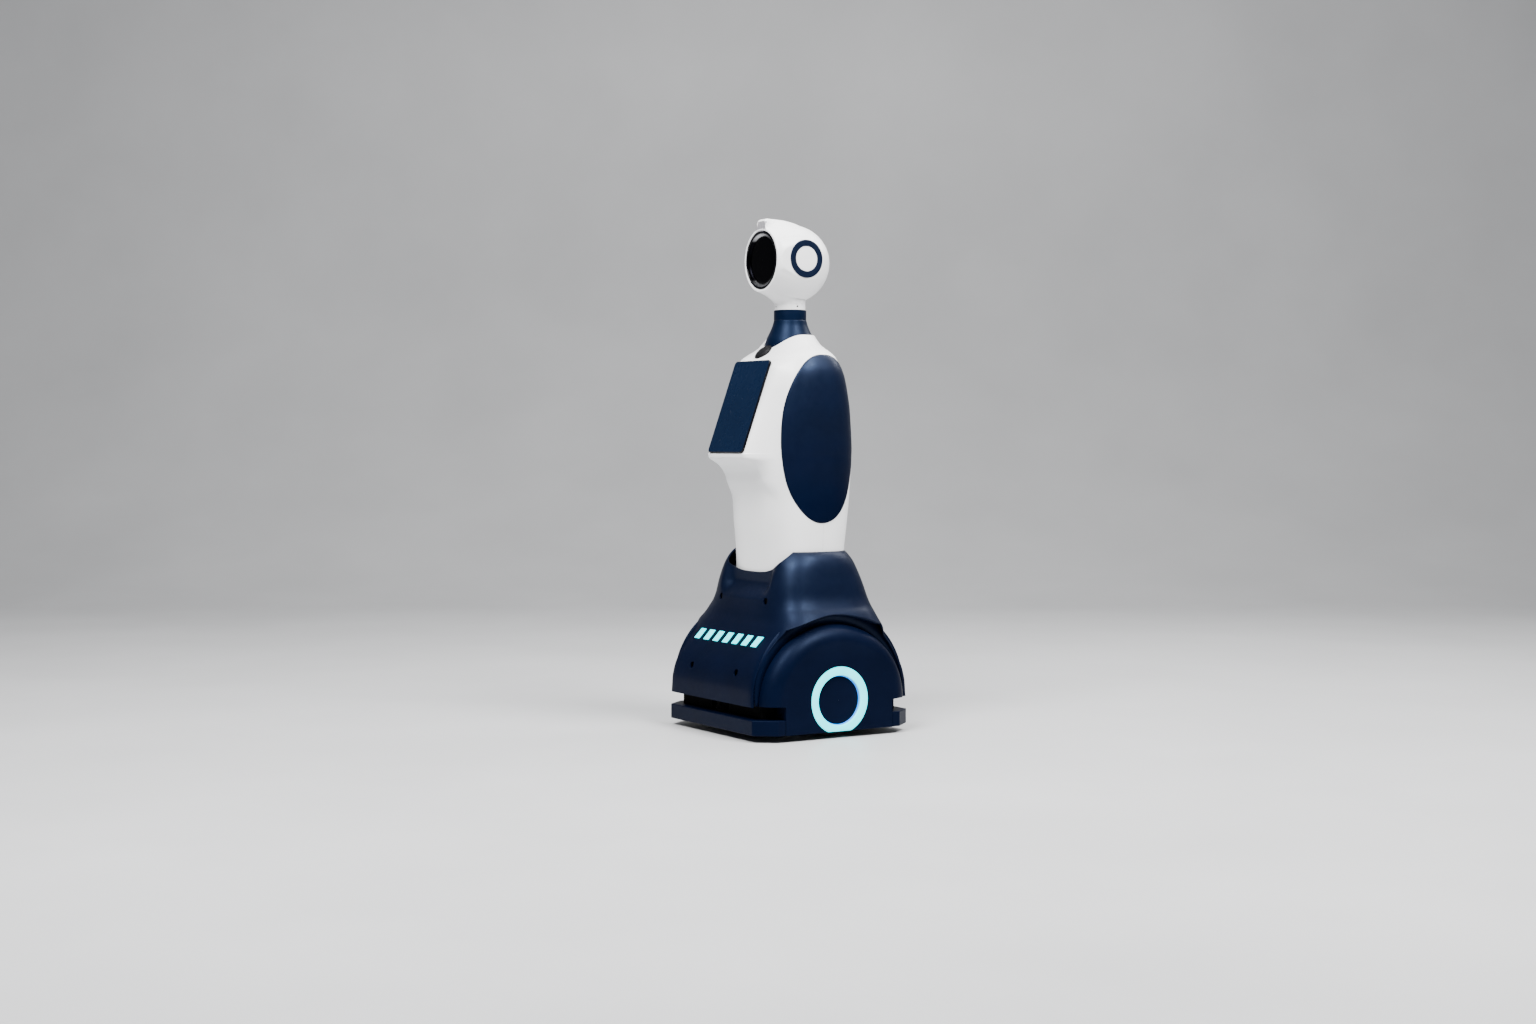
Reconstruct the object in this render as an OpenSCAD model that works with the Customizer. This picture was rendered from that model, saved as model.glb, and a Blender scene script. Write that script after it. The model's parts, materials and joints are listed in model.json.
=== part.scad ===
// Companion robot on a two-wheel-drive base, with a chest tablet and a turning head.
// The front faces -Y, the robot's own left side is +X, and the floor is z = 0.

/* [Drive base] */
// Height of the underside of the covers above the floor
ground_gap = 18; // [12:1:24]
// Height of the drive axles, which is the drive wheels' radius
axle_z = 98; // [94:1:104]
// Half of the width over the two wheel covers
base_half_w = 252; // [244:1:262]
// Half of the depth of the base tray
base_half_d = 240; // [236:1:242]
// Height of the top of the base tray
tray_top = 57; // [54:1:60]
// Height of the lower edge of the skirt
skirt_low = 90; // [86:1:94]
// Wall thickness of the base covers
cover_wall = 4; // [3:0.5:5]

/* [Drive train] */
// Width of a drive wheel's tyre
tyre_w = 44; // [36:1:48]
// Radius of the drive axle stub
axle_r = 8; // [6:0.5:10]
// Distance of the two casters from the middle, front and rear
caster_y = 180; // [170:1:186]
// Radius of a caster wheel
caster_r = 19; // [17:0.5:20]
// Distance by which a caster wheel trails its swivel
caster_trail = 14; // [10:1:16]

/* [Torso] */
// Distance of the torso's middle behind the axles
torso_y = 8; // [4:1:12]
// Wall thickness of the torso and head shells
shell_wall = 3; // [2.5:0.5:4]
// Height of the tablet along its face
tablet_h = 250.6; // [240:0.1:256]
// Width of the tablet
tablet_w = 174; // [168:1:178]
// Thickness of the tablet
tablet_t = 7.5; // [6:0.5:9]
// Lean of the tablet, its lower edge forward
tablet_lean = 19.9; // [16:0.1:23]

/* [Head] */
// Height of the middle of the head
head_z = 1240; // [1236:1:1244]
// Radius of the head's round back
head_r = 107; // [104:0.5:108]
// Radius of the white rim round the face
face_r = 84; // [81:0.5:86]
// Distance of the face rim in front of the axles
face_y = 80; // [76:1:84]
// Radius of the ear rings
ear_r = 49; // [46:0.5:53]

/* [Hidden] */
$fn = 96;

navy = "#0f1a33";
deep_blue = "#10263f";
white = "#e8e8ea";
charcoal = "#26282c";
black = "#08090b";
glow = "#a8f6ff";
steel = "#9aa0a6";
alu = "#b9bdc2";
fit = 0.05;            // radial clearance of a shaft in its bore
play = 0.5;            // gap between faces of parts that move past each other

// Skirt: half-width at the sides, half-depth at the front and rear, and squareness, by height
skirt_side = [[90, 216], [156, 214], [206, 214], [254, 228], [283, 252], [300, 244], [319, 232],
    [335, 219], [360, 207], [400, 198], [440, 188], [465, 177], [478, 167]];
skirt_front = [[90, 241], [128, 240], [156, 235], [183, 225], [206, 212], [229, 197], [254, 181],
    [283, 165], [310, 152], [350, 143], [381, 139], [430, 130], [460, 122], [478, 113]];
skirt_rear = [[90, 241], [128, 240], [156, 235], [183, 225], [206, 213], [229, 200], [254, 186],
    [283, 176], [310, 172], [341, 167], [383, 157], [438, 140], [464, 133], [478, 130]];
skirt_square = [[90, 32], [206, 22], [254, 8], [283, 5.2], [320, 4.2], [478, 3.6]];
// Half-width of the scoop between the shoulders, by height
scoop_half = [[350, 96], [378, 100], [419, 108], [451, 126], [478, 134]];
scoop_wall = 110;
scoop_low = 352;
scoop_high = 396;
lip_corner_z = 283;
lip_top_z = 319;
rim_front_z = 421;
rim_z = 476;
// Columns of the skirt, with one exactly on each corner
sector = [-45, -40, -33, -25, -16, -8, 0, 8, 16, 25, 33, 40];
skirt_columns = [for (turn = [0, 90, 180, 270], a = sector) a + turn];

// Wheel cover: an arch with a rounded-over edge
cover_arch_w = 219;
cover_arch_h = 194;
cover_round = 44;
cover_inner_x = 208;
slot_end_y = 165;
light_r = 87.5;
light_inner_r = 63.5;

// Torso rings: height at the sides, half-width, front, rear, squareness, height shift at front and rear
torso_rings = [
    [418, 157, -104, 122, 3.2, 0, 52], [476, 158, -106, 123, 3.2, 0, 0],
    [548, 162, -113, 127, 3.1, 0, 0], [616, 165, -119, 135, 3, 0, 0],
    [655, 166, -127, 138, 3, 0, 0], [692, 168, -134, 141, 3, 0, 0],
    [712, 169, -136, 141, 3, 0, 0], [724, 169, -137, 141, 3, 0, 0],
    [737, 170, -137, 141, 3, 0, 0], [770, 171, -137, 139, 3, 0, 0],
    [810, 173, -135, 134.5, 3, 0, 0], [850, 174, -130, 130, 3, 0, 0],
    [900, 171.5, -124, 121, 3, 0, 0], [930, 168.5, -118, 115, 2.95, -3, -2],
    [950, 164.5, -114, 110, 2.85, -6, -4], [970, 156.5, -108, 105, 2.7, -9, -5],
    [988, 146, -103, 101, 2.5, -12, -6], [1002, 130, -96, 97, 2.2, -20, -7],
    [1014, 107, -87, 94, 1.95, -25, -8], [1022, 96, -79, 86, 1.9, -27, -8],
    [1033, 84, -70, 78, 1.95, -30, -7], [1045, 71, -62, 69, 2, -34, 0]];
// How far the wedge behind the tablet stands in front, by height
wedge_front = [[600, 100], [655, 130], [675, 138], [692, 148], [704, 162], [714, 181], [722, 197],
    [726, 201], [736, 202]];
wedge_flat = 88;
wedge_blend = 128;
tablet_top_y = -109;
tablet_top_z = 975;
torso_steps = 56;

// Side panels
panel_z = 771;
panel_half_h = 220;
panel_half_w = 111.5;
panel_y = 4;
panel_top_shift = 14;
panel_square = [2.35, 2.1];

function mix(a, b, t) = a + (b - a) * t;
function smooth(low, high, v) = let (t = min(1, max(0, (v - low) / (high - low)))) t * t * (3 - 2 * t);
function squircle(angle, n) = pow(pow(abs(cos(angle)), n) + pow(abs(sin(angle)), n), -1 / n);
function quad(a, b, c, d) = [[a, b, c], [a, c, d]];

// A wall between two grids of points; rows rise and columns run anticlockwise seen from the row direction
module thick_grid(outer, inner, closed = true, present = function (i, j) true) {
    m = len(outer);
    n = len(outer[0]);
    total = m * n;
    function at(i, j) = i * n + (j % n);
    function wrap(j) = closed ? (j + n) % n : j;
    function has(i, j) = i >= 0 && i <= m - 2 && (closed || (j >= 0 && j <= n - 2)) && present(i, wrap(j));
    polyhedron(
        points = concat([for (row = outer) each row], [for (row = inner) each row]),
        faces = [for (i = [0 : m - 2], j = [0 : n - 1]) if (has(i, j)) each concat(
            quad(at(i, j), at(i + 1, j), at(i + 1, j + 1), at(i, j + 1)),
            quad(total + at(i, j), total + at(i, j + 1), total + at(i + 1, j + 1), total + at(i + 1, j)),
            has(i - 1, j) ? [] : quad(at(i, j), at(i, j + 1), total + at(i, j + 1), total + at(i, j)),
            has(i + 1, j) ? []
                : quad(at(i + 1, j), total + at(i + 1, j), total + at(i + 1, j + 1), at(i + 1, j + 1)),
            has(i, j - 1) ? [] : quad(at(i, j), total + at(i, j), total + at(i + 1, j), at(i + 1, j)),
            has(i, j + 1) ? []
                : quad(at(i, j + 1), at(i + 1, j + 1), total + at(i + 1, j + 1), total + at(i, j + 1)))]);
}

module both_sides() {
    children();
    mirror([1, 0, 0]) children();
}

module front_and_rear() {
    children();
    mirror([0, 1, 0]) children();
}

// ---- Drive base ----

module tray_outline(inset = 0) {
    w = base_half_w - inset;
    d = base_half_d - inset;
    polygon([for (s = [[1, 1], [-1, 1], [-1, -1], [1, -1]])
        each s[0] * s[1] > 0
            ? [[s[0] * w, s[1] * (d - 50)], [s[0] * (w - 43), s[1] * d]]
            : [[s[0] * (w - 43), s[1] * d], [s[0] * w, s[1] * (d - 50)]]]);
}

module wheel_bays(grow = 0) {
    both_sides() translate([150 - grow, -slot_end_y - 0.5 - grow]) square([120, 2 * (slot_end_y + 0.5 + grow)]);
}

module base_tray() {
    deck = 6;
    wall = 5;
    color(navy) difference() {
        translate([0, 0, ground_gap]) linear_extrude(tray_top - ground_gap) difference() {
            tray_outline();
            wheel_bays();
        }
        translate([0, 0, ground_gap - 1]) linear_extrude(tray_top - deck - ground_gap + 1) difference() {
            tray_outline(wall);
            wheel_bays(wall);
        }
    }
}

function skirt_point(angle, z, inset) =
    let (n = lookup(z, skirt_square),
        r = squircle(angle, n),
        x = (lookup(z, skirt_side) - inset) * r * cos(angle),
        depth = (sin(angle) < 0 ? lookup(z, skirt_front) : lookup(z, skirt_rear)) - inset,
        y = depth * r * sin(angle),
        half = lookup(z, scoop_half),
        scoop = smooth(scoop_low, scoop_high, z) * (1 - smooth(half - 8, half + 16, abs(x))))
    [x, sin(angle) < 0 ? max(y, mix(y, inset - scoop_wall, scoop)) : y, z];

function lip_z(angle) = lip_corner_z + (lip_top_z - lip_corner_z) * (1 - pow(min(1, abs(angle) / 45), 2));
function side_turn(angle) = let (a = (angle + 405) % 180 - 45) a;
function skirt_start(angle) = abs(side_turn(angle)) < 45 ? lip_z(side_turn(angle)) : lip_corner_z;
function skirt_end(angle) =
    let (x = abs(lookup(rim_z, skirt_side) * squircle(angle, 3.6) * cos(angle)))
    sin(angle) < -0.01 ? min(rim_z, rim_front_z + 56 * pow(x / 155, 3)) : rim_z;

apron_levels = [skirt_low, 128, 156, 183, 206, 229, 254];
rise_levels = [0, 0.08, 0.16, 0.26, 0.38, 0.5, 0.6, 0.7, 0.8, 0.9, 1];

function skirt_grid(inset) = concat(
    [for (z = apron_levels) [for (a = skirt_columns) skirt_point(a, z, inset)]],
    [for (t = rise_levels) [for (a = skirt_columns)
        skirt_point(a, mix(skirt_start(a), skirt_end(a), t), inset)]]);

module screw_places() {
    for (s = [-1, 1]) {
        translate([s * 112, 0, 350]) children();
        translate([s * 113, 0, 170]) children();
    }
}

module skirt_shell() {
    color(navy) difference() {
        thick_grid(skirt_grid(0), skirt_grid(cover_wall),
            present = function (i, j) i >= len(apron_levels) || floor(j / len(sector)) % 2 == 1);
        screw_places() rotate([90, 0, 0]) cylinder(h = 600, r = 9, center = true);
        translate([0, 150, 330]) rotate([-90, 0, 0]) cylinder(h = 60, r = 16);
    }
}

module skirt_screws() {
    color(steel) for (face = [[350, 143, 167], [170, 230, 230]], s = [-1, 1], rear = [0, 1])
        translate([s * (face[0] == 350 ? 112 : 113), 0, face[0]])
            rotate([rear == 1 ? -90 : 90, 0, 0]) {
                translate([0, 0, face[1 + rear] - 13]) cylinder(h = 4, r = 8);
                translate([0, 0, face[1 + rear] - 30]) cylinder(h = 18, r = 3);
            }
}

// Outline of the wheel cover, its arch a given amount smaller, looking along the axle
function cover_outline(x, arch_w, arch_h, inset) =
    let (y = slot_end_y - inset)
    concat([[x, y, ground_gap], [x, y, 54], [x, y, skirt_low + inset]],
        [for (a = [0 : 9 : 180]) [x, arch_w * cos(a), axle_z - 6 + (arch_h + 6) * sin(a) + inset * 0.3]],
        [[x, -y, skirt_low + inset], [x, -y, 54], [x, -y, ground_gap]]);

// Outline of the round hole for the light ring, with as many points as the arch outline
function cover_hole(x) =
    let (r = light_r + 0.8, low = asin((axle_z - ground_gap) / r), steps = 26)
    [for (k = [0 : steps]) let (a = mix(-low, 180 + low, k / steps)) [x, r * cos(a), axle_z + r * sin(a)]];

function cover_grid(inset) = concat(
    [for (t = [0 : 0.2 : 1]) let (a = 90 * t, in = cover_round * (1 - cos(a)))
        cover_outline(mix(cover_inner_x, base_half_w - inset, sin(a)),
            cover_arch_w - inset - in, cover_arch_h - inset - in, inset)],
    [cover_hole(base_half_w - inset)]);

module wheel_cover() {
    color(navy) thick_grid(cover_grid(0), cover_grid(3), closed = false);
}

module left_wheel_cover() wheel_cover();
module right_wheel_cover() mirror([1, 0, 0]) wheel_cover();

module along_axle(x) {
    translate([x, 0, axle_z]) rotate([0, 90, 0]) children();
}

module above_gap() {
    intersection() {
        children();
        translate([0, -200, ground_gap]) cube([400, 400, 400]);
    }
}

module light_ring() {
    color(glow) above_gap() along_axle(base_half_w - 7) difference() {
        cylinder(h = 6, r = light_r);
        translate([0, 0, -1]) cylinder(h = 8, r = light_inner_r);
    }
}

module left_light_ring() light_ring();
module right_light_ring() mirror([1, 0, 0]) light_ring();

module hub_disc() {
    color(navy) above_gap() along_axle(base_half_w - 12) {
        cylinder(h = 4.8, r = light_r + 3);
        cylinder(h = 8, r = light_inner_r - 2);
    }
}

module left_hub_disc() hub_disc();
module right_hub_disc() mirror([1, 0, 0]) hub_disc();

module front_light_bars() {
    bar_h = 30;
    pitch = 46;
    lean = 31;
    color(glow) translate([0, -182.5, 255]) rotate([90 - lean, 0, 0]) for (k = [-3 : 3])
        linear_extrude(2) translate([k * pitch, 0]) polygon([[-22, -bar_h / 2], [10, -bar_h / 2], [22, bar_h / 2],
            [-10, bar_h / 2]]);
}

chassis_z = 118;
chassis_t = 6;

module chassis_plate() {
    color(steel) translate([0, 0, chassis_z]) linear_extrude(chassis_t) difference() {
        union() {
            square([300, 400], center = true);
            for (s = [-1, 1]) translate([0, s * 165]) square([380, 80], center = true);
        }
        for (s = [-1, 1]) translate([0, s * 150]) circle(r = 25);
    }
}

module deck_posts() {
    color(alu) for (x = [-120, 120], y = [-150, 150])
        translate([x, y, tray_top]) cylinder(h = chassis_z - tray_top, r = 9);
}

mount_x = 126;
mount_w = 30;

module motor_mounts() {
    color(alu) both_sides() difference() {
        translate([mount_x, -32, 64]) cube([mount_w, 64, chassis_z - 64]);
        translate([mount_x - 1, 0, axle_z]) rotate([0, 90, 0]) cylinder(h = mount_w + 2, r = axle_r + fit);
    }
}

module battery_pack() {
    color(charcoal) translate([-120, -165, chassis_z + chassis_t]) difference() {
        cube([240, 120, 96]);
        translate([90, -1, 76]) cube([60, 12, 21]);
    }
}

module main_controller() {
    color("#1d5a38") translate([-60, 62, chassis_z + chassis_t]) {
        cube([120, 88, 4]);
        translate([14, 14, 4]) cube([36, 36, 14]);
        translate([66, 10, 4]) cube([40, 24, 22]);
    }
}

module motor_driver() {
    color(alu) translate([70, 62, chassis_z + chassis_t]) {
        cube([70, 88, 6]);
        for (k = [0 : 6]) translate([4 + k * 10, 4, 6]) cube([3, 80, 22]);
    }
}

scanner_y = 182;

module scanner_bases() {
    color(charcoal) for (s = [-1, 1]) translate([0, s * scanner_y, tray_top]) {
        cylinder(h = 10, r = 36);
        cylinder(h = 24, r = 5);
    }
}

module scanner_rotor() {
    color(black) difference() {
        translate([0, 0, tray_top + 10 + play]) union() {
            cylinder(h = 16, r = 33);
            translate([0, 0, 16]) cylinder(h = 3, r1 = 33, r2 = 28);
        }
        translate([0, 0, tray_top]) cylinder(h = 25, r = 5 + fit);
        translate([-24, -40, tray_top + 16]) cube([20, 14, 8]);
        translate([6, -40, tray_top + 16]) cube([16, 14, 8]);
    }
}

module front_scanner_rotor() translate([0, -scanner_y, 0]) scanner_rotor();
module rear_scanner_rotor() translate([0, scanner_y, 0]) rotate(180) scanner_rotor();

deck_low = tray_top - 6;
stem_r = 5;

module caster_plates() {
    color(steel) for (s = [-1, 1]) translate([0, s * caster_y, deck_low - 6]) difference() {
        cylinder(h = 6, r = 28);
        translate([0, 0, -1]) cylinder(h = 8, r = stem_r + fit);
    }
}

// A caster fork with its stem and axle pin, the wheel trailing towards +Y
module caster_fork() {
    arm_x = 10;
    arm_t = 3;
    top = deck_low - 6 - play;
    color(steel) {
        translate([0, 0, top - 4]) cylinder(h = 4, r = 16);
        translate([0, 0, top - 1]) cylinder(h = 6.4, r = stem_r);
        for (s = [-1, 1]) translate([s * (arm_x + arm_t / 2) - arm_t / 2, 0, 0]) {
            translate([0, -8, top - 4]) cube([arm_t, caster_trail + 14, 4]);
            translate([0, caster_trail - 6, caster_r - 6]) cube([arm_t, 12, top - caster_r + 3]);
        }
        translate([-arm_x - arm_t, -8, top - 4]) cube([2 * (arm_x + arm_t), caster_trail + 14, 4]);
        translate([-arm_x - arm_t, caster_trail, caster_r]) rotate([0, 90, 0])
            cylinder(h = 2 * (arm_x + arm_t), r = 3);
    }
}

module front_caster_fork() translate([0, -caster_y, 0]) caster_fork();
module rear_caster_fork() translate([0, caster_y, 0]) caster_fork();

module caster_wheel() {
    color(charcoal) translate([-9.3, caster_trail, caster_r]) rotate([0, 90, 0]) difference() {
        rotate_extrude() polygon([[3 + fit, 0], [8, 0], [8, 1.5], [caster_r - 4, 1.5], [caster_r - 1.5, 3],
            [caster_r, 5.5], [caster_r, 13.1], [caster_r - 1.5, 15.6], [caster_r - 4, 17.1], [8, 17.1],
            [8, 18.6], [3 + fit, 18.6]]);
    }
}

module front_caster_wheel() translate([0, -caster_y, 0]) caster_wheel();
module rear_caster_wheel() translate([0, caster_y, 0]) caster_wheel();

wheel_x = 190;

module wheel_hub() {
    rim_r = axle_z - 20;
    color(charcoal) along_axle(wheel_x) {
        difference() {
            translate([0, 0, -tyre_w / 2]) cylinder(h = tyre_w, r = rim_r);
            for (a = [0 : 60 : 300]) rotate(a) translate([48, 0, tyre_w / 2 - 8]) cylinder(h = 9, r = 14);
        }
        translate([0, 0, mount_x - 6 - wheel_x]) cylinder(h = wheel_x - mount_x + 6, r = axle_r);
        translate([0, 0, mount_x + mount_w + play - wheel_x]) cylinder(h = 12, r = 16);
    }
}

module left_wheel_hub() wheel_hub();
module right_wheel_hub() mirror([1, 0, 0]) wheel_hub();

module tyre() {
    half = tyre_w / 2;
    color("#15161a") along_axle(wheel_x) rotate_extrude() polygon([[axle_z - 20, -half], [axle_z - 7, -half],
        [axle_z - 2, -half + 5], [axle_z, -half + 12], [axle_z, half - 12], [axle_z - 2, half - 5],
        [axle_z - 7, half], [axle_z - 20, half]]);
}

module left_tyre() tyre();
module right_tyre() mirror([1, 0, 0]) tyre();

module charge_contacts() {
    color("#c9a24a") for (s = [-1, 1]) translate([s * 30 - 12, base_half_d, 30]) cube([24, 1, 12]);
}

button_z = 330;
button_y = 178;

module button_bezel() {
    color(charcoal) translate([0, 0, button_z]) rotate([-90, 0, 0]) difference() {
        union() {
            translate([0, 0, button_y - 26]) cylinder(h = 22, r = 15.5);
            translate([0, 0, button_y - 5]) cylinder(h = 3, r = 19);
        }
        translate([0, 0, button_y - 20]) cylinder(h = 40, r = 11);
    }
}

module power_button() {
    color(alu) translate([0, button_y - 16, button_z]) rotate([-90, 0, 0]) {
        cylinder(h = 15, r = 10.6);
        translate([0, 0, 15]) cylinder(h = 1.5, r1 = 10.6, r2 = 9);
    }
}

// ---- Torso ----

spine_top = 1004;

module spine_column() {
    foot_z = chassis_z + chassis_t;
    color(alu) translate([0, torso_y, 0]) difference() {
        union() {
            translate([-30, -30, foot_z]) cube([60, 60, spine_top - foot_z]);
            translate([-50, -50, foot_z]) cube([100, 100, 6]);
            translate([-48, -48, spine_top]) cube([96, 96, 6]);
        }
        translate([-26, -26, foot_z - 1]) cube([52, 52, spine_top - foot_z + 1]);
        for (x = [-40, 40], y = [-40, 40]) translate([x, y, foot_z - 1]) cylinder(h = 8, r = 3.4);
    }
}

module torso_ribs() {
    color(steel) for (level = [[540, 103], [880, 103]]) translate([0, torso_y, level[0]])
        linear_extrude(4) difference() {
            offset(r = 40) square([2 * 131 - 80, 2 * level[1] - 80], center = true);
            square([60.4, 60.4], center = true);
            for (s = [-1, 1]) translate([s * 80, 0]) circle(r = 26);
        }
}

function wedge_y(z) = z > 736 ? -tablet_top_y + (tablet_top_z - z) * tan(tablet_lean) - 6.4
    : lookup(z, wedge_front);
function wedge_share(x, z) = (1 - smooth(wedge_flat, wedge_blend, abs(x))) * smooth(600, 640, z)
    * (1 - smooth(tablet_top_z - 22, tablet_top_z + 4, z));

function torso_point(ring, angle, inset) =
    let (r = squircle(angle, ring[4]),
        front = sin(angle) < 0,
        x = (ring[1] - inset) * r * cos(angle),
        depth = (front ? torso_y - ring[2] : ring[3] - torso_y) - inset,
        y = torso_y + depth * r * sin(angle),
        z = ring[0] + (front ? ring[5] : ring[6]) * pow(abs(sin(angle)), 3),
        pushed = front ? min(y, inset - wedge_y(z)) : y)
    [x, mix(y, pushed, wedge_share(x, z)), z];

function torso_grid(inset, half) =
    [for (ring = torso_rings) [for (k = [0 : torso_steps / 2]) torso_point(ring, (half + k) * 360 / torso_steps, inset)]];

module torso_front_shell() {
    color(white) difference() {
        thick_grid(torso_grid(0, torso_steps / 2), torso_grid(shell_wall, torso_steps / 2), closed = false);
        on_tablet() translate([0, 0, -6]) linear_extrude(2 * tablet_t) tablet_outline(-0.4);
    }
}

module torso_back_shell() {
    color(white) thick_grid(torso_grid(0, 0), torso_grid(shell_wall, 0), closed = false);
}

function column_of(index) = [for (ring = torso_rings) [ring[0], ring[index]]];
torso_half_w = column_of(1);
torso_front_y = column_of(2);
torso_rear_y = column_of(3);
torso_square = column_of(4);

function torso_x(y, z) =
    let (n = lookup(z, torso_square),
        depth = y < torso_y ? torso_y - lookup(z, torso_front_y) : lookup(z, torso_rear_y) - torso_y)
    lookup(z, torso_half_w) * pow(max(0.001, 1 - pow(abs(y - torso_y) / depth, n)), 1 / n);

panel_steps = 56;
function panel_ring(share, lift) = [for (k = [0 : panel_steps - 1])
    let (a = k * 360 / panel_steps,
        r = share * squircle(a, panel_square[sin(a) > 0 ? 0 : 1]),
        rise = r * sin(a),
        y = panel_y + panel_half_w * r * cos(a) + panel_top_shift * pow(max(0, rise), 2),
        z = panel_z + panel_half_h * rise)
    [torso_x(y, z) + lift, y, z]];

module side_panel() {
    shares = [0.02, 0.18, 0.35, 0.5, 0.63, 0.75, 0.86, 0.94, 1];
    rows = concat([for (k = [len(shares) - 1 : -1 : 0]) panel_ring(shares[k], 3.6)]);
    back = concat([for (k = [len(shares) - 1 : -1 : 0]) panel_ring(shares[k], 1.7)]);
    m = len(shares);
    n = panel_steps;
    function at(i, j) = i * n + (j % n);
    color(navy) polyhedron(
        points = concat([for (row = rows) each row], [for (row = back) each row]),
        faces = concat(
            [for (i = [0 : m - 2], j = [0 : n - 1]) each concat(
                quad(at(i, j), at(i + 1, j), at(i + 1, j + 1), at(i, j + 1)),
                quad(m * n + at(i, j), m * n + at(i, j + 1), m * n + at(i + 1, j + 1), m * n + at(i + 1, j)),
                i > 0 ? [] : quad(at(i, j), at(i, j + 1), m * n + at(i, j + 1), m * n + at(i, j)))],
            [for (j = [1 : n - 2]) [at(m - 1, 0), at(m - 1, j + 1), at(m - 1, j)]],
            [for (j = [1 : n - 2]) [m * n + at(m - 1, 0), m * n + at(m - 1, j), m * n + at(m - 1, j + 1)]]));
}

module left_side_panel() side_panel();
module right_side_panel() mirror([1, 0, 0]) side_panel();

// Places its children on the tablet's plane: x across, y up the face, z outward
module on_tablet() {
    translate([0, tablet_top_y, tablet_top_z]) rotate([90 - tablet_lean, 0, 0])
        translate([0, -tablet_h / 2, 0]) children();
}

module tablet_outline(inset = 0) {
    offset(r = 7) square([tablet_w - 14 - 2 * inset, tablet_h - 14 - 2 * inset], center = true);
}

module tablet_frame() {
    color(black) on_tablet() translate([0, 0, -5.6]) linear_extrude(tablet_t - 1.6) tablet_outline();
}

module tablet_glass() {
    color(deep_blue) on_tablet() translate([0, 0, tablet_t - 7.2]) linear_extrude(1) tablet_outline(2);
}

module tablet_bracket() {
    color(steel) on_tablet() translate([0, 10, -16]) difference() {
        union() {
            translate([-60, -80, 0]) cube([120, 160, 4]);
            for (s = [-1, 1]) translate([s * 40 - 3, -30, -35]) cube([6, 60, 36]);
        }
        for (x = [-37.5, 37.5], y = [-37.5, 37.5]) translate([x, y, -1]) cylinder(h = 6, r = 2.2);
    }
}

module chest_sensor() {
    slope = 41;
    color(charcoal) translate([0, -77, 999.8]) rotate([slope, 0, 0]) rotate_extrude()
        polygon([[0, 0.3], [26, 0.3], [26, 3], [24.5, 5.5], [20.5, 7.6], [12, 9.4], [0, 10]]);
}

module torso_computer() {
    color(charcoal) translate([-75, 52, 600]) {
        cube([150, 34, 200]);
        for (k = [0 : 7]) translate([10 + 17 * k, 34, 20]) cube([5, 8, 160]);
    }
}

module speakers() {
    color(black) for (s = [-1, 1]) translate([s * 78, -70, 620]) rotate([90, 0, 0]) {
        cylinder(h = 8, r = 26);
        translate([0, 0, 8]) cylinder(h = 14, r1 = 18, r2 = 26);
    }
}

// ---- Neck ----

neck_y = 6.5;
band_low = 1086;
band_high = 1111.5;

module neck_flare() {
    outer = [[62.5, 1014], [62, 1028], [60.5, 1036], [56.5, 1046], [53, 1054], [50, 1062], [46.5, 1072],
        [44, band_low]];
    color(deep_blue) translate([0, neck_y, 0]) rotate_extrude()
        polygon(concat(outer, [for (k = [len(outer) - 1 : -1 : 0]) outer[k] - [3, 0]]));
}

module neck_band() {
    color(deep_blue) translate([0, neck_y, band_low + 0.1]) difference() {
        cylinder(h = band_high - band_low - 0.1, r = 43.5);
        translate([0, 0, -1]) cylinder(h = 40, r = 40.5);
    }
}

shaft_r = 10;
servo_top = 1078;

module neck_servo() {
    color(charcoal) translate([0, neck_y, 0]) difference() {
        union() {
            translate([0, 0, spine_top + 6]) cylinder(h = 48, r = 34);
            translate([0, 0, spine_top + 50]) cylinder(h = servo_top - spine_top - 50, r = 26);
        }
        translate([0, 0, servo_top - 26]) cylinder(h = 30, r = shaft_r + fit);
    }
}

module neck_ring() {
    color(white) translate([0, neck_y, band_high + play]) difference() {
        cylinder(h = 28, r = 42);
        translate([0, 0, -1]) cylinder(h = 40, r = 38.5);
        for (a = [0 : 90 : 270]) rotate(a - 3) translate([30, 0, 9]) rotate([0, 90, 0]) cylinder(h = 20, r = 2);
    }
}

module neck_screws() {
    color(charcoal) translate([0, neck_y, band_high + play + 9]) for (a = [0 : 90 : 270])
        rotate(a - 3) translate([35.3, 0, 0]) rotate([0, 90, 0]) cylinder(h = 5.4, r = 1.9);
}

// ---- Head ----

// Side profile of the head as radius and distance behind the face, for turning about the Y axis
function head_profile(grow) =
    let (rim = [face_r + grow, -face_y], reach = norm([neck_y + face_y, face_r]),
        touch = atan2(face_r, -neck_y - face_y) - acos(head_r / reach), steps = 14)
    concat([for (k = [0 : steps]) let (a = touch * k / steps)
        [(head_r + grow) * sin(a), neck_y + (head_r + grow) * cos(a)]], [rim]);

module turned_about_y() {
    translate([0, 0, head_z]) rotate([-90, 0, 0]) rotate_extrude() children();
}

module head_solid(grow = 0) {
    profile = head_profile(grow);
    turned_about_y() polygon(concat(profile, [[0, -face_y]]));
}

ear_x = 87.5;

module head_shell() {
    profile = head_profile(0);
    inner = head_profile(-shell_wall);
    color(white) difference() {
        union() {
            turned_about_y() polygon(concat(profile, [for (k = [len(inner) - 1 : -1 : 0]) inner[k]]));
            both_sides() both_ears(ear_x - shell_wall, ear_x, 58.5, ear_r + 0.3);
        }
        both_sides() translate([ear_x, -80, head_z - 80]) cube([40, 170, 160]);
        translate([0, neck_y, head_z - 120]) cylinder(h = 60, r = 37);
    }
}

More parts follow.
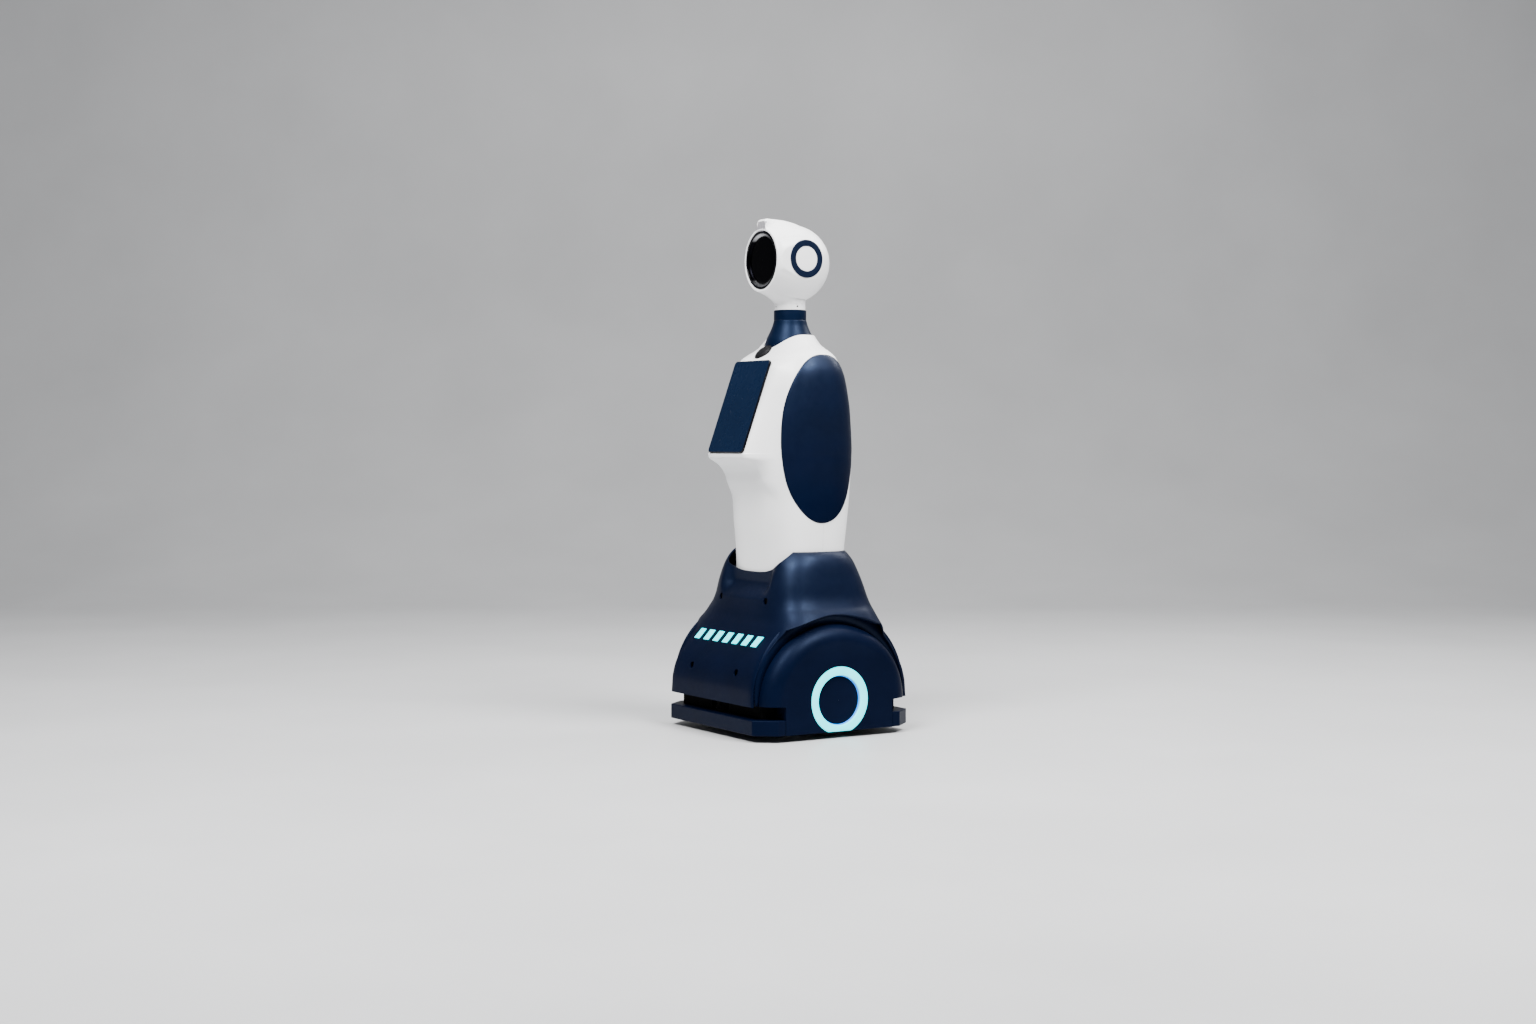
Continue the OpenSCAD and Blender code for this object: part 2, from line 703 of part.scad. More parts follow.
module both_ears(from, to, r, hole) {
    translate([from, 2.5, head_z + 3]) rotate([0, 90, 0]) difference() {
        cylinder(h = to - from, r = r);
        if (hole > 0) translate([0, 0, -1]) cylinder(h = to - from + 2, r = hole);
    }
}

module left_ear_ring() color(navy) both_ears(ear_x - 8, ear_x + 1.5, ear_r, 35.2);
module right_ear_ring() mirror([1, 0, 0]) left_ear_ring();
module left_ear_disc() color(white) both_ears(ear_x - 8, ear_x + 0.5, 35, 0);
module right_ear_disc() mirror([1, 0, 0]) left_ear_disc();

crown_half_w = 26;

module crown_cap() {
    top = 1350;
    color(white) difference() {
        translate([-crown_half_w, 0, 0]) rotate([90, 0, 90]) linear_extrude(2 * crown_half_w)
            polygon([[-82, 1318], [-83, 1343], [-78, 1348], [-72, top], [-45, top - 1], [0, top - 4],
                [16, top - 8], [32, top - 18], [32, 1322], [-20, 1322]]);
        head_solid(0.2);
        translate([-21, -90, 1316]) cube([42, 14, 28]);
    }
}

module camera_window() {
    color(charcoal) difference() {
        translate([-20.6, -82, 1324]) cube([41.2, 5.6, 19.6]);
        for (k = [0 : 3]) translate([-14 + 8.5 * k, -83, 1326]) cube([2.5, 2, 16]);
        head_solid(0.2);
    }
}

module about_face(from, to, r, hole) {
    translate([0, from, head_z + 2]) rotate([-90, 0, 0]) difference() {
        cylinder(h = to - from, r = r);
        if (hole > 0) translate([0, 0, -1]) cylinder(h = to - from + 2, r = hole);
    }
}

module face_bezel() color(black) about_face(-face_y - 4, -face_y + 8, 77, 70.7);
module face_trim_ring() color(steel) about_face(-face_y - 1, -face_y + 8, 70.5, 62.3);
module face_display() color(black) about_face(-face_y + 1, -face_y + 8, 62, 0);

module head_frame() {
    low = band_high + play + 6;
    color(alu) translate([0, neck_y, 0]) {
        translate([0, 0, low]) cylinder(h = 5, r = 34.5);
        translate([0, 0, servo_top - 22]) cylinder(h = low - servo_top + 22, r = shaft_r);
        translate([-25, -4, low]) cube([50, 8, 150]);
        translate([-25, -74, head_z - 40]) cube([6, 78, 80]);
        translate([19, -74, head_z - 40]) cube([6, 78, 80]);
    }
}

base_tray();
skirt_shell();
left_wheel_cover();
right_wheel_cover();
left_light_ring();
right_light_ring();
left_hub_disc();
right_hub_disc();
front_light_bars();
skirt_screws();
chassis_plate();
deck_posts();
motor_mounts();
battery_pack();
main_controller();
motor_driver();
scanner_bases();
caster_plates();
charge_contacts();
button_bezel();
spine_column();
torso_ribs();
torso_front_shell();
torso_back_shell();
left_side_panel();
right_side_panel();
tablet_frame();
tablet_glass();
tablet_bracket();
chest_sensor();
torso_computer();
speakers();
neck_flare();
neck_band();
neck_servo();
neck_ring();
neck_screws();
head_shell();
crown_cap();
camera_window();
face_bezel();
face_trim_ring();
face_display();
left_ear_ring();
right_ear_ring();
left_ear_disc();
right_ear_disc();
head_frame();
left_wheel_hub();
right_wheel_hub();
left_tyre();
right_tyre();
front_caster_fork();
rear_caster_fork();
front_caster_wheel();
rear_caster_wheel();
front_scanner_rotor();
rear_scanner_rotor();
power_button();
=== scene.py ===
import bisect
import json
import math

import bmesh
import bpy
from mathutils import Matrix, Vector


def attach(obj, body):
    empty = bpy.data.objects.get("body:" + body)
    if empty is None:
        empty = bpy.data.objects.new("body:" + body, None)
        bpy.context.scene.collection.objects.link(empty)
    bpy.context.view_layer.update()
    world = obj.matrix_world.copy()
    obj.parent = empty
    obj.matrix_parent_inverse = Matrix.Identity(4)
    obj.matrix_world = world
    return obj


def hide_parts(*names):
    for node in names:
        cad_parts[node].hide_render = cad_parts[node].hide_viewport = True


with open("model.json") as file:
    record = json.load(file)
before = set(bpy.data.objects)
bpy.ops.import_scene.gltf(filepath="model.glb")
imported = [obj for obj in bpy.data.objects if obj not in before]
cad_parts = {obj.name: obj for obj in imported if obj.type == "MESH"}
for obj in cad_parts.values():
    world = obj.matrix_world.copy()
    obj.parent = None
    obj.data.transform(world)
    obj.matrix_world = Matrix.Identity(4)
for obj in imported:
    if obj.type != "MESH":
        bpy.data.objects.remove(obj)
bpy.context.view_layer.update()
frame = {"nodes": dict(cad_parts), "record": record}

MM = 0.001


# ---------------------------------------------------------------- numbers and curves

def mix(a, b, t):
    return a + (b - a) * t


def smooth(low, high, v):
    t = min(1.0, max(0.0, (v - low) / (high - low)))
    return t * t * (3 - 2 * t)


class Curve:
    """A smooth curve through (position, value) pairs that never swings past them."""

    def __init__(self, pairs):
        self.x = [p[0] for p in pairs]
        self.y = [p[1] for p in pairs]
        gaps = [b - a for a, b in zip(self.x, self.x[1:])]
        rises = [(b - a) / g for a, b, g in zip(self.y, self.y[1:], gaps)]
        self.slope = [rises[0]]
        for i in range(1, len(rises)):
            if rises[i - 1] * rises[i] <= 0:
                self.slope.append(0.0)
            else:
                u = 2 * gaps[i] + gaps[i - 1]
                w = gaps[i] + 2 * gaps[i - 1]
                self.slope.append((u + w) / (u / rises[i - 1] + w / rises[i]))
        self.slope.append(rises[-1])

    def __call__(self, v):
        if v <= self.x[0]:
            return self.y[0]
        if v >= self.x[-1]:
            return self.y[-1]
        i = bisect.bisect_right(self.x, v) - 1
        h = self.x[i + 1] - self.x[i]
        t = (v - self.x[i]) / h
        a = (1 + 2 * t) * (1 - t) ** 2
        b = t * (1 - t) ** 2
        c = t * t * (3 - 2 * t)
        d = t * t * (t - 1)
        return a * self.y[i] + b * h * self.slope[i] + c * self.y[i + 1] + d * h * self.slope[i + 1]


def squircle(angle, n):
    c, s = abs(math.cos(angle)), abs(math.sin(angle))
    return (c ** n + s ** n) ** (-1 / n)


def steps(low, high, count):
    return [low + (high - low) * k / count for k in range(count + 1)]


# ---------------------------------------------------------------- meshes

def mesh_object(name, bm):
    mesh = bpy.data.meshes.new(name)
    bm.to_mesh(mesh)
    bm.free()
    mesh.shade_smooth()
    obj = bpy.data.objects.new(name, mesh)
    bpy.context.scene.collection.objects.link(obj)
    return obj


def add_grid(bm, rows, closed=False, present=None):
    """Adds rows of points in millimetres; its outside is where columns cross rows, right-handed."""
    made = [[bm.verts.new(Vector(p) * MM) for p in row] for row in rows]
    n = len(rows[0])
    for i in range(len(rows) - 1):
        for j in range(n if closed else n - 1):
            if present and not present(i, j):
                continue
            k = (j + 1) % n
            corners = [made[i][j], made[i][k], made[i + 1][k], made[i + 1][j]]
            bm.faces.new(corners)
    return made


def facing_out(obj, centre):
    """Turns the faces of a shell to point away from a place inside it, in millimetres."""
    inside = Vector(centre) * MM
    if sum(f.area * f.normal.dot(f.center - inside) for f in obj.data.polygons) < 0:
        obj.data.flip_normals()
    return obj


def tidy(bm, reach=0.00002):
    loose = [v for v in bm.verts if not v.link_faces]
    bmesh.ops.delete(bm, geom=loose, context="VERTS")
    bmesh.ops.remove_doubles(bm, verts=bm.verts[:], dist=reach)
    bmesh.ops.dissolve_degenerate(bm, edges=bm.edges[:], dist=reach)


def grid(name, rows, closed=False, present=None):
    bm = bmesh.new()
    add_grid(bm, rows, closed, present)
    tidy(bm)
    return mesh_object(name, bm)


AXES = {"X": ((0, 1, 0), (0, 0, 1), (1, 0, 0)), "Z": ((1, 0, 0), (0, 1, 0), (0, 0, 1)),
        "-Y": ((1, 0, 0), (0, 0, 1), (0, -1, 0))}


def lathe(name, profile, centre, axis, columns=96):
    """Turns (radius, height) points about an axis; the profile rises with its outside to the right."""
    u, v, w = (Vector(e) for e in (AXES[axis] if isinstance(axis, str) else axis))
    angles = [math.radians(360 * k / columns) for k in range(columns)]
    rows = [[Vector(centre) + u * r * math.cos(a) + v * r * math.sin(a) + w * h for a in angles]
            for r, h in profile]
    return grid(name, rows, closed=True)


def rounded(points, radii, count=4):
    """The open line through 2D points with each inner corner rounded by its radius."""
    out = [points[0]]
    for before, at, after, r in zip(points, points[1:], points[2:], radii):
        a, p, b = Vector(before), Vector(at), Vector(after)
        if r <= 0:
            out.append(at)
            continue
        p0 = p + (a - p).normalized() * min(r, (a - p).length * 0.49)
        p1 = p + (b - p).normalized() * min(r, (b - p).length * 0.49)
        for k in range(count + 1):
            t = k / count
            q = p0 * (1 - t) ** 2 + p * 2 * t * (1 - t) + p1 * t * t
            out.append((q.x, q.y))
    out.append(points[-1])
    return out


def thick(obj, wall, offset=-1.0):
    m = obj.modifiers.new("wall", "SOLIDIFY")
    m.thickness = wall * MM
    m.offset = offset
    m.use_even_offset = False
    m.use_quality_normals = True
    return obj


def soften(obj, width, segments=2, angle=38.0):
    m = obj.modifiers.new("edges", "BEVEL")
    m.width = width * MM
    m.segments = segments
    m.limit_method = "ANGLE"
    m.angle_limit = math.radians(angle)
    m.harden_normals = False
    m.miter_outer = "MITER_ARC"
    w = obj.modifiers.new("shading", "WEIGHTED_NORMAL")
    w.keep_sharp = True
    w.weight = 60
    return obj


def bake_down(obj):
    """Applies the modifiers, so that cutters can be removed."""
    graph = bpy.context.evaluated_depsgraph_get()
    mesh = bpy.data.meshes.new_from_object(obj.evaluated_get(graph), depsgraph=graph)
    old = obj.data
    obj.modifiers.clear()
    obj.data = mesh
    bpy.data.meshes.remove(old)
    mesh.name = obj.name
    return obj


def bored(obj, holes):
    """Cuts round holes: (centre, axis, radius, length), in millimetres."""
    bm = bmesh.new()
    for centre, axis, r, length in holes:
        turn = Vector(axis).to_track_quat("Z", "Y").to_matrix().to_4x4()
        bmesh.ops.create_cone(bm, cap_ends=True, segments=40, radius1=r * MM, radius2=r * MM,
                              depth=length * MM, matrix=Matrix.Translation(Vector(centre) * MM) @ turn)
    cutter = mesh_object(obj.name + "_cutter", bm)
    m = obj.modifiers.new("holes", "BOOLEAN")
    m.object = cutter
    m.operation = "DIFFERENCE"
    m.solver = "EXACT"
    bake_down(obj)
    bpy.data.objects.remove(cutter)
    return obj


def mirrored(obj, name):
    """A copy on the other side of the X = 0 plane."""
    bm = bmesh.new()
    bm.from_mesh(obj.data)
    for v in bm.verts:
        v.co.x = -v.co.x
    bmesh.ops.reverse_faces(bm, faces=bm.faces[:])
    other = mesh_object(name, bm)
    for m in obj.modifiers:
        n = other.modifiers.new(m.name, m.type)
        for key in m.bl_rna.properties.keys():
            if not m.bl_rna.properties[key].is_readonly and key not in ("name", "type"):
                setattr(n, key, getattr(m, key))
    for mat in obj.data.materials:
        other.data.materials.append(mat)
    return other


def on_side(side, obj):
    """The piece itself for side 1, and its mirror image instead for side -1."""
    if side > 0:
        return obj
    other = mirrored(obj, obj.name + "_m")
    bpy.data.objects.remove(obj)
    return other


def slab(name, outline, low, high, place=None):
    """A closed plate over an outline of (x, y) points, anticlockwise."""
    bm = bmesh.new()
    bottom = [bm.verts.new(Vector((x, y, low)) * MM) for x, y in outline]
    top = [bm.verts.new(Vector((x, y, high)) * MM) for x, y in outline]
    bm.faces.new(top)
    bm.faces.new(bottom[::-1])
    n = len(outline)
    for i in range(n):
        k = (i + 1) % n
        bm.faces.new([bottom[i], bottom[k], top[k], top[i]])
    if place is not None:
        bm.transform(place)
    return mesh_object(name, bm)


# ---------------------------------------------------------------- materials

def link_noise(tree, vector, scale, detail, rough=0.55):
    n = tree.nodes.new("ShaderNodeTexNoise")
    n.inputs["Scale"].default_value = scale
    n.inputs["Detail"].default_value = detail
    n.inputs["Roughness"].default_value = rough
    tree.links.new(vector, n.inputs["Vector"])
    return n.outputs["Fac"]


def ramp(tree, value, low, high, out_low, out_high):
    n = tree.nodes.new("ShaderNodeMapRange")
    n.inputs["From Min"].default_value = low
    n.inputs["From Max"].default_value = high
    n.inputs["To Min"].default_value = out_low
    n.inputs["To Max"].default_value = out_high
    tree.links.new(value, n.inputs["Value"])
    return n.outputs["Result"]


def blend_colours(tree, fac, a, b):
    n = tree.nodes.new("ShaderNodeMix")
    n.data_type = "RGBA"
    tree.links.new(fac, n.inputs["Factor"])
    for name, c in (("A", a), ("B", b)):
        socket = [s for s in n.inputs if s.name == name and s.type == "RGBA"][0]
        if isinstance(c, tuple):
            socket.default_value = (*c, 1)
        else:
            tree.links.new(c, socket)
    return [s for s in n.outputs if s.type == "RGBA"][0]


def base_material(name, metallic=0.0, ior=1.5, stretch=(1, 1, 1), shine=0.5):
    m = bpy.data.materials.new(name)
    m.use_nodes = True
    tree = m.node_tree
    shader = tree.nodes["Principled BSDF"]
    shader.inputs["Metallic"].default_value = metallic
    shader.inputs["IOR"].default_value = ior
    shader.inputs["Specular IOR Level"].default_value = shine
    coord = tree.nodes.new("ShaderNodeTexCoord")
    mapping = tree.nodes.new("ShaderNodeMapping")
    mapping.inputs["Scale"].default_value = stretch
    tree.links.new(coord.outputs["Object"], mapping.inputs["Vector"])
    return m, tree, shader, mapping.outputs["Vector"]


def bumped(tree, shader, height, strength, distance):
    n = tree.nodes.new("ShaderNodeBump")
    n.inputs["Strength"].default_value = strength
    n.inputs["Distance"].default_value = distance
    tree.links.new(height, n.inputs["Height"])
    tree.links.new(n.outputs["Normal"], shader.inputs["Normal"])


def mottled(tree, shader, clouds, dark, light):
    """A base colour that drifts a little with a noise."""
    colour = blend_colours(tree, ramp(tree, clouds, 0.3, 0.7, 0, 1), dark, light)
    tree.links.new(colour, shader.inputs["Base Color"])
    return colour


def object_height(tree, vector):
    place = tree.nodes.new("ShaderNodeSeparateXYZ")
    tree.links.new(vector, place.inputs["Vector"])
    return place.outputs["Z"]


def plastic(name, dark, light, rough, bump=0.05, shine=0.5, painted_shade_shine=None, heights=(0.2, 0.42), tint=None):
    """Moulded plastic: faint flow marks in its colour, uneven gloss and a fine moulded texture.

    With a low shine given, the gloss fades downwards between two heights, in metres; this fade is painted
    shade, which dims the reflections lower down."""
    m, tree, shader, vector = base_material(name, shine=shine)
    marks = link_noise(tree, vector, 9.0, 5)
    haze = link_noise(tree, vector, 63.0, 6, 0.65)
    moulded = link_noise(tree, vector, 1400.0, 2)
    mottled(tree, shader, marks, dark, light)
    tree.links.new(ramp(tree, haze, 0.3, 0.7, *rough), shader.inputs["Roughness"])
    bumped(tree, shader, moulded, bump, 0.0002)
    # Painted shade: the gloss sinks towards the bottom of the piece.
    if painted_shade_shine is not None:
        gloss = ramp(tree, object_height(tree, vector), *heights, painted_shade_shine, shine)
        tree.links.new(gloss, shader.inputs["Specular IOR Level"])
    if tint is not None:
        shader.inputs["Specular Tint"].default_value = (*tint, 1)
    return m


def metal(name, dark, light, rough=(0.22, 0.42), stretch=(1, 1, 40)):
    """Brushed or turned metal: fine streaks along one direction and slight tarnish."""
    m, tree, shader, vector = base_material(name, metallic=1.0, stretch=stretch)
    streak = link_noise(tree, vector, 60.0, 8, 0.7)
    tarnish = link_noise(tree, vector, 6.0, 5)
    mottled(tree, shader, tarnish, dark, light)
    tree.links.new(ramp(tree, streak, 0.25, 0.75, *rough), shader.inputs["Roughness"])
    bumped(tree, shader, streak, 0.08, 0.0002)
    return m


def glass_face(name, dark, light, rough, shine, ior=1.4):
    """Glossy dark glass over a screen: smears in the gloss and a faint wash of colour."""
    m, tree, shader, vector = base_material(name, ior=ior, shine=shine)
    wash = link_noise(tree, vector, 5.0, 3)
    smear = link_noise(tree, vector, 30.0, 6, 0.7)
    mottled(tree, shader, wash, dark, light)
    tree.links.new(ramp(tree, smear, 0.35, 0.75, *rough), shader.inputs["Roughness"])
    bumped(tree, shader, wash, 0.02, 0.0005)
    return m


def lamp(name, deep, bright, power):
    """A glowing diffuser, a little brighter in some places than in others; also used for painted light, where
    the ring's light falls on its liner.
    """
    m, tree, shader, vector = base_material(name)
    cloud = link_noise(tree, vector, 26.0, 4)
    tree.links.new(mottled(tree, shader, cloud, deep, bright), shader.inputs["Emission Color"])
    strength = ramp(tree, cloud, 0.3, 0.7, power * 0.94, power * 1.06)
    tree.links.new(strength, shader.inputs["Emission Strength"])
    shader.inputs["Roughness"].default_value = 0.35
    return m


def rubber(name):
    m, tree, shader, vector = base_material(name, ior=1.45)
    dust = link_noise(tree, vector, 24.0, 6, 0.65)
    grit = link_noise(tree, vector, 900.0, 3)
    dusty = blend_colours(tree, ramp(tree, dust, 0.45, 0.75, 0, 1), (0.012, 0.012, 0.013),
                          (0.05, 0.048, 0.045))
    tree.links.new(dusty, shader.inputs["Base Color"])
    tree.links.new(ramp(tree, grit, 0.3, 0.7, 0.7, 0.92), shader.inputs["Roughness"])
    bumped(tree, shader, grit, 0.3, 0.0004)
    return m


def board(name):
    """A printed circuit board: tracks in a lighter green, dark chips and solder dots."""
    m, tree, shader, vector = base_material(name)
    tracks = tree.nodes.new("ShaderNodeTexBrick")
    tracks.inputs["Scale"].default_value = 70.0
    tracks.inputs["Color1"].default_value = (0.012, 0.09, 0.04, 1)
    tracks.inputs["Color2"].default_value = (0.02, 0.13, 0.06, 1)
    tracks.inputs["Mortar"].default_value = (0.05, 0.26, 0.12, 1)
    tracks.inputs["Mortar Size"].default_value = 0.03
    tree.links.new(vector, tracks.inputs["Vector"])
    dots = tree.nodes.new("ShaderNodeTexVoronoi")
    dots.inputs["Scale"].default_value = 260.0
    tree.links.new(vector, dots.inputs["Vector"])
    near = ramp(tree, dots.outputs["Distance"], 0.12, 0.2, 1, 0)
    soldered = blend_colours(tree, near, tracks.outputs["Color"], (0.55, 0.52, 0.46))
    tree.links.new(soldered, shader.inputs["Base Color"])
    roughness = ramp(tree, link_noise(tree, vector, 60, 4), 0.3, 0.7, 0.35, 0.55)
    tree.links.new(roughness, shader.inputs["Roughness"])
    bumped(tree, shader, near, 0.2, 0.0003)
    return m


NAVY_TINT = (0.38, 0.56, 1.0)
# The navy cover's gloss fades towards the floor and the panel's towards its foot: painted shade.
NAVY = plastic("navy_cover", (0.0008, 0.0022, 0.0095), (0.0013, 0.0032, 0.0135), rough=(0.38, 0.48),
               bump=0.06, shine=0.24, painted_shade_shine=0.06, tint=NAVY_TINT)
PANEL = plastic("navy_panel", (0.0009, 0.0025, 0.0105), (0.0014, 0.0036, 0.0145), rough=(0.38, 0.48),
                bump=0.06, shine=0.34, painted_shade_shine=0.03, heights=(0.6, 1.0), tint=NAVY_TINT)
BLUE = plastic("blue_neck", (0.0008, 0.0036, 0.0130), (0.0013, 0.0048, 0.0175), rough=(0.36, 0.46), bump=0.05,
               shine=0.14, tint=NAVY_TINT)
WHITE = plastic("white_shell", (0.85, 0.85, 0.855), (0.89, 0.89, 0.89), rough=(0.3, 0.4), bump=0.03)
BLACK = plastic("black_gloss", (0.0015, 0.0018, 0.003), (0.003, 0.003, 0.005), rough=(0.12, 0.2), bump=0.01,
                shine=0.14)
CHARCOAL = plastic("charcoal_plastic", (0.004, 0.004, 0.005), (0.008, 0.008, 0.0095), rough=(0.40, 0.52),
                   bump=0.12, shine=0.14)
# Painted shade: a near-black for the scanners, the walls of the tray's slot and the backings of the light
# rings, where shade falls.
SHADE = plastic("painted_shade_black", (0.0008, 0.0008, 0.001), (0.0014, 0.0014, 0.0018), rough=(0.75, 0.9), bump=0.1,
                shine=0.04)
TABLET = glass_face("tablet_glass", (0.0018, 0.0066, 0.021), (0.0024, 0.0085, 0.0265), (0.24, 0.34), 0.12)
FACE_GLASS = glass_face("face_glass", (0.0006, 0.0006, 0.0008), (0.0010, 0.0010, 0.0014), (0.14, 0.22), 0.05)
CAMERA = glass_face("camera_glass", (0.22, 0.215, 0.23), (0.36, 0.35, 0.37), (0.2, 0.34), 0.5, ior=1.45)
STEEL = metal("steel", (0.30, 0.31, 0.32), (0.46, 0.47, 0.49), stretch=(1, 40, 1))
BLACK_STEEL = metal("black_steel", (0.010, 0.010, 0.012), (0.024, 0.024, 0.027), rough=(0.35, 0.5))
ALU = metal("alu", (0.52, 0.53, 0.55), (0.66, 0.67, 0.69), rough=(0.3, 0.46))
BRIGHT = metal("bright_ring", (0.70, 0.71, 0.73), (0.85, 0.86, 0.88), rough=(0.12, 0.24))
BRASS = metal("contact_brass", (0.55, 0.40, 0.16), (0.72, 0.55, 0.26), rough=(0.2, 0.36))
GLOW = lamp("light", (0.005, 0.80, 0.90), (0.02, 0.88, 0.96), 1.7)
# Painted light: the liner inside each ring glows deep blue for the ring's light falling on it.
PAINTED_RING_LIGHT = lamp("painted_ring_light", (0.005, 0.22, 0.95), (0.02, 0.34, 1.0), 1.0)
TYRE = rubber("tyre")
BOARD = board("circuit_board")


def ring_metal_painted_reflection(name, middle, ends):
    """Turned metal about the face, with a painted reflection in its base colour: bright towards its top and
    bottom and dark round its middle.
    """
    m, tree, shader, vector = base_material(name, metallic=1.0)
    far = tree.nodes.new("ShaderNodeMath")
    far.operation = "SUBTRACT"
    far.inputs[1].default_value = FACE_Z * MM
    tree.links.new(object_height(tree, vector), far.inputs[0])
    size = tree.nodes.new("ShaderNodeMath")
    size.operation = "ABSOLUTE"
    tree.links.new(far.outputs["Value"], size.inputs[0])
    # Painted reflection: light towards the top and bottom of the ring, dark round its middle.
    turned = blend_colours(tree, ramp(tree, size.outputs["Value"], 0.050, 0.064, 0, 1), middle, ends)
    tree.links.new(turned, shader.inputs["Base Color"])
    grain = link_noise(tree, vector, 240.0, 6)
    tree.links.new(ramp(tree, grain, 0.3, 0.7, 0.22, 0.34), shader.inputs["Roughness"])
    bumped(tree, shader, grain, 0.04, 0.0002)
    return m


FACE_Z = 1242.0
FACE_RING = ring_metal_painted_reflection("face_ring", (0.002, 0.002, 0.003), (0.50, 0.50, 0.52))

FINISH = {"navy_cover": NAVY, "navy_panel": PANEL, "blue_neck": BLUE, "white_shell": WHITE,
          "black_gloss": BLACK, "charcoal_plastic": CHARCOAL, "tablet_glass": TABLET,
          "face_glass": FACE_GLASS, "camera_glass": CAMERA, "steel": STEEL, "alu": ALU,
          "bright_ring": BRIGHT, "contact_brass": BRASS, "light": GLOW, "tyre": TYRE,
          "circuit_board": BOARD}

slot_of = {s["node"]: s["material_slot"] for s in frame["record"]["subparts"]}
for node, obj in frame["nodes"].items():
    finish = FINISH[slot_of[node]]
    if node.endswith("_screws"):
        finish = BLACK_STEEL
    # The scanners sit in the shade of the slot, so they get painted shade instead of their own finish.
    elif "scanner" in node:
        finish = SHADE
    if not obj.material_slots:
        obj.data.materials.append(finish)
    for s in obj.material_slots:
        s.material = finish


def add(obj, body, slot, *nodes, finish=None):
    obj.data.materials.clear()
    obj.data.materials.append(finish or FINISH[slot])
    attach(obj, body)
    if nodes:
        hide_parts(*nodes)
    return obj


# ---------------------------------------------------------------- camera

VIEW_A, VIEW_PITCH = math.radians(57.97), math.radians(1.98)
VIEW_DIST, VIEW_H, VIEW_OFF = 5.5868, 0.769, 0.05221  # metres
across = Vector((math.cos(VIEW_A), math.sin(VIEW_A), 0))
ahead = Vector((-math.sin(VIEW_A), math.cos(VIEW_A), 0))
up = Vector((0, 0, 1))
camera = bpy.data.objects.new("camera", bpy.data.cameras.new("camera"))
bpy.context.scene.collection.objects.link(camera)
camera.location = -ahead * VIEW_DIST - across * VIEW_OFF + up * VIEW_H
look = ahead * math.cos(VIEW_PITCH) - up * math.sin(VIEW_PITCH)
camera.rotation_euler = look.to_track_quat("-Z", "Y").to_euler()
camera.data.sensor_width = 36
camera.data.lens = 49.1
bpy.context.scene.camera = camera


# ---------------------------------------------------------------- skirt of the drive base

# By height: half-width, depth in front and behind, and how square the outline is
side_w = Curve([(90, 216), (156, 214), (206, 214), (254, 228), (283, 252), (300, 244), (319, 232), (335, 219),
                (360, 207), (400, 198), (440, 188.5), (456, 182.5), (466, 176.5), (473, 170), (478, 162)])
front_d = Curve([(90, 241), (128, 240), (156, 235), (183, 225), (206, 212), (229, 197), (254, 181),
                 (283, 165), (310, 152), (350, 143), (381, 139), (430, 130), (460, 122), (478, 113)])
rear_d = Curve([(90, 241), (128, 240), (156, 235), (183, 225), (206, 213), (229, 200), (254, 186), (283, 176),
                (310, 172), (341, 167), (383, 157), (438, 141), (456, 136.5), (466, 131.5), (473, 127),
                (478, 121.5)])
skirt_n = Curve([(90, 32), (206, 22), (254, 8), (283, 5.2), (320, 4.2), (400, 3.7), (440, 3.25), (456, 2.95),
                 (466, 2.8), (478, 2.75)])
scoop_half = Curve([(350, 96), (378, 100), (419, 108), (451, 126), (478, 134)])
SCOOP_Y = 110  # how far the floor of the scoop stands in front of the middle
SCOOP_LOW, SCOOP_FULL = 350, 398  # heights where the scoop begins and where it reaches its depth
HEM_Z, CORNER_Z, COLLAR_Z = 90, 283, 477  # foot of the faces, ends of the side lips, highest edge
LIP_RISE = 36
SCOOP_EDGE_Z, SCOOP_EDGE_RISE, SCOOP_EDGE_HALF = 421, 57, 155
COLLAR_HALF_W, COLLAR_N = 168.5, 3.6
SCREW_R = 9.0
BUTTON_Z, BUTTON_HOLE_R = 330, 16


def skirt_point(degrees, z, inset=0.0):
    a = math.radians(degrees)
    r = squircle(a, skirt_n(z))
    x = (side_w(z) - inset) * r * math.cos(a)
    front = math.sin(a) < 0
    y = ((front_d if front else rear_d)(z) - inset) * r * math.sin(a)
    if front:
        half = scoop_half(z)
        share = smooth(SCOOP_LOW, SCOOP_FULL, z) * (1 - smooth(half - 18, half + 26, abs(x)))
        y = max(y, mix(y, inset - SCOOP_Y, share))
    return Vector((x, y, z))


def side_turn(degrees):
    return (degrees + 405) % 180 - 45


def skirt_start(degrees):
    """Height of the lip over a wheel cover; in front and behind, height of the lip's corners."""
    return CORNER_Z + LIP_RISE * (1 - min(1, abs(side_turn(degrees)) / 45) ** 2)


def skirt_end(degrees):
    """Height of the top edge, which dips into the scoop in front."""
    a = math.radians(degrees)
    if math.sin(a) >= -0.01:
        return COLLAR_Z
    x = abs(COLLAR_HALF_W * squircle(a, COLLAR_N) * math.cos(a))
    return min(COLLAR_Z, SCOOP_EDGE_Z + SCOOP_EDGE_RISE * (x / SCOOP_EDGE_HALF) ** 3)


def sector(dense):
    """Angles over one quarter, closer together at the corners."""
    near = [0, 0.35, 0.8, 1.3, 1.8, 2.6, 3.8, 5.5, 8]
    far = steps(11, 79, dense)
    return [-45 + a for a in near] + [-45 + a for a in far] + [-45 + 90 - a for a in near[:0:-1]]


columns = [turn + a for turn in (0, 90, 180, 270) for a in sector(34)]
HEM = 1.8  # how far round each corner the front and rear faces run, in degrees


def has_apron(degrees):
    return abs((degrees + 405) % 180 - 135) <= 45 + HEM + 0.01


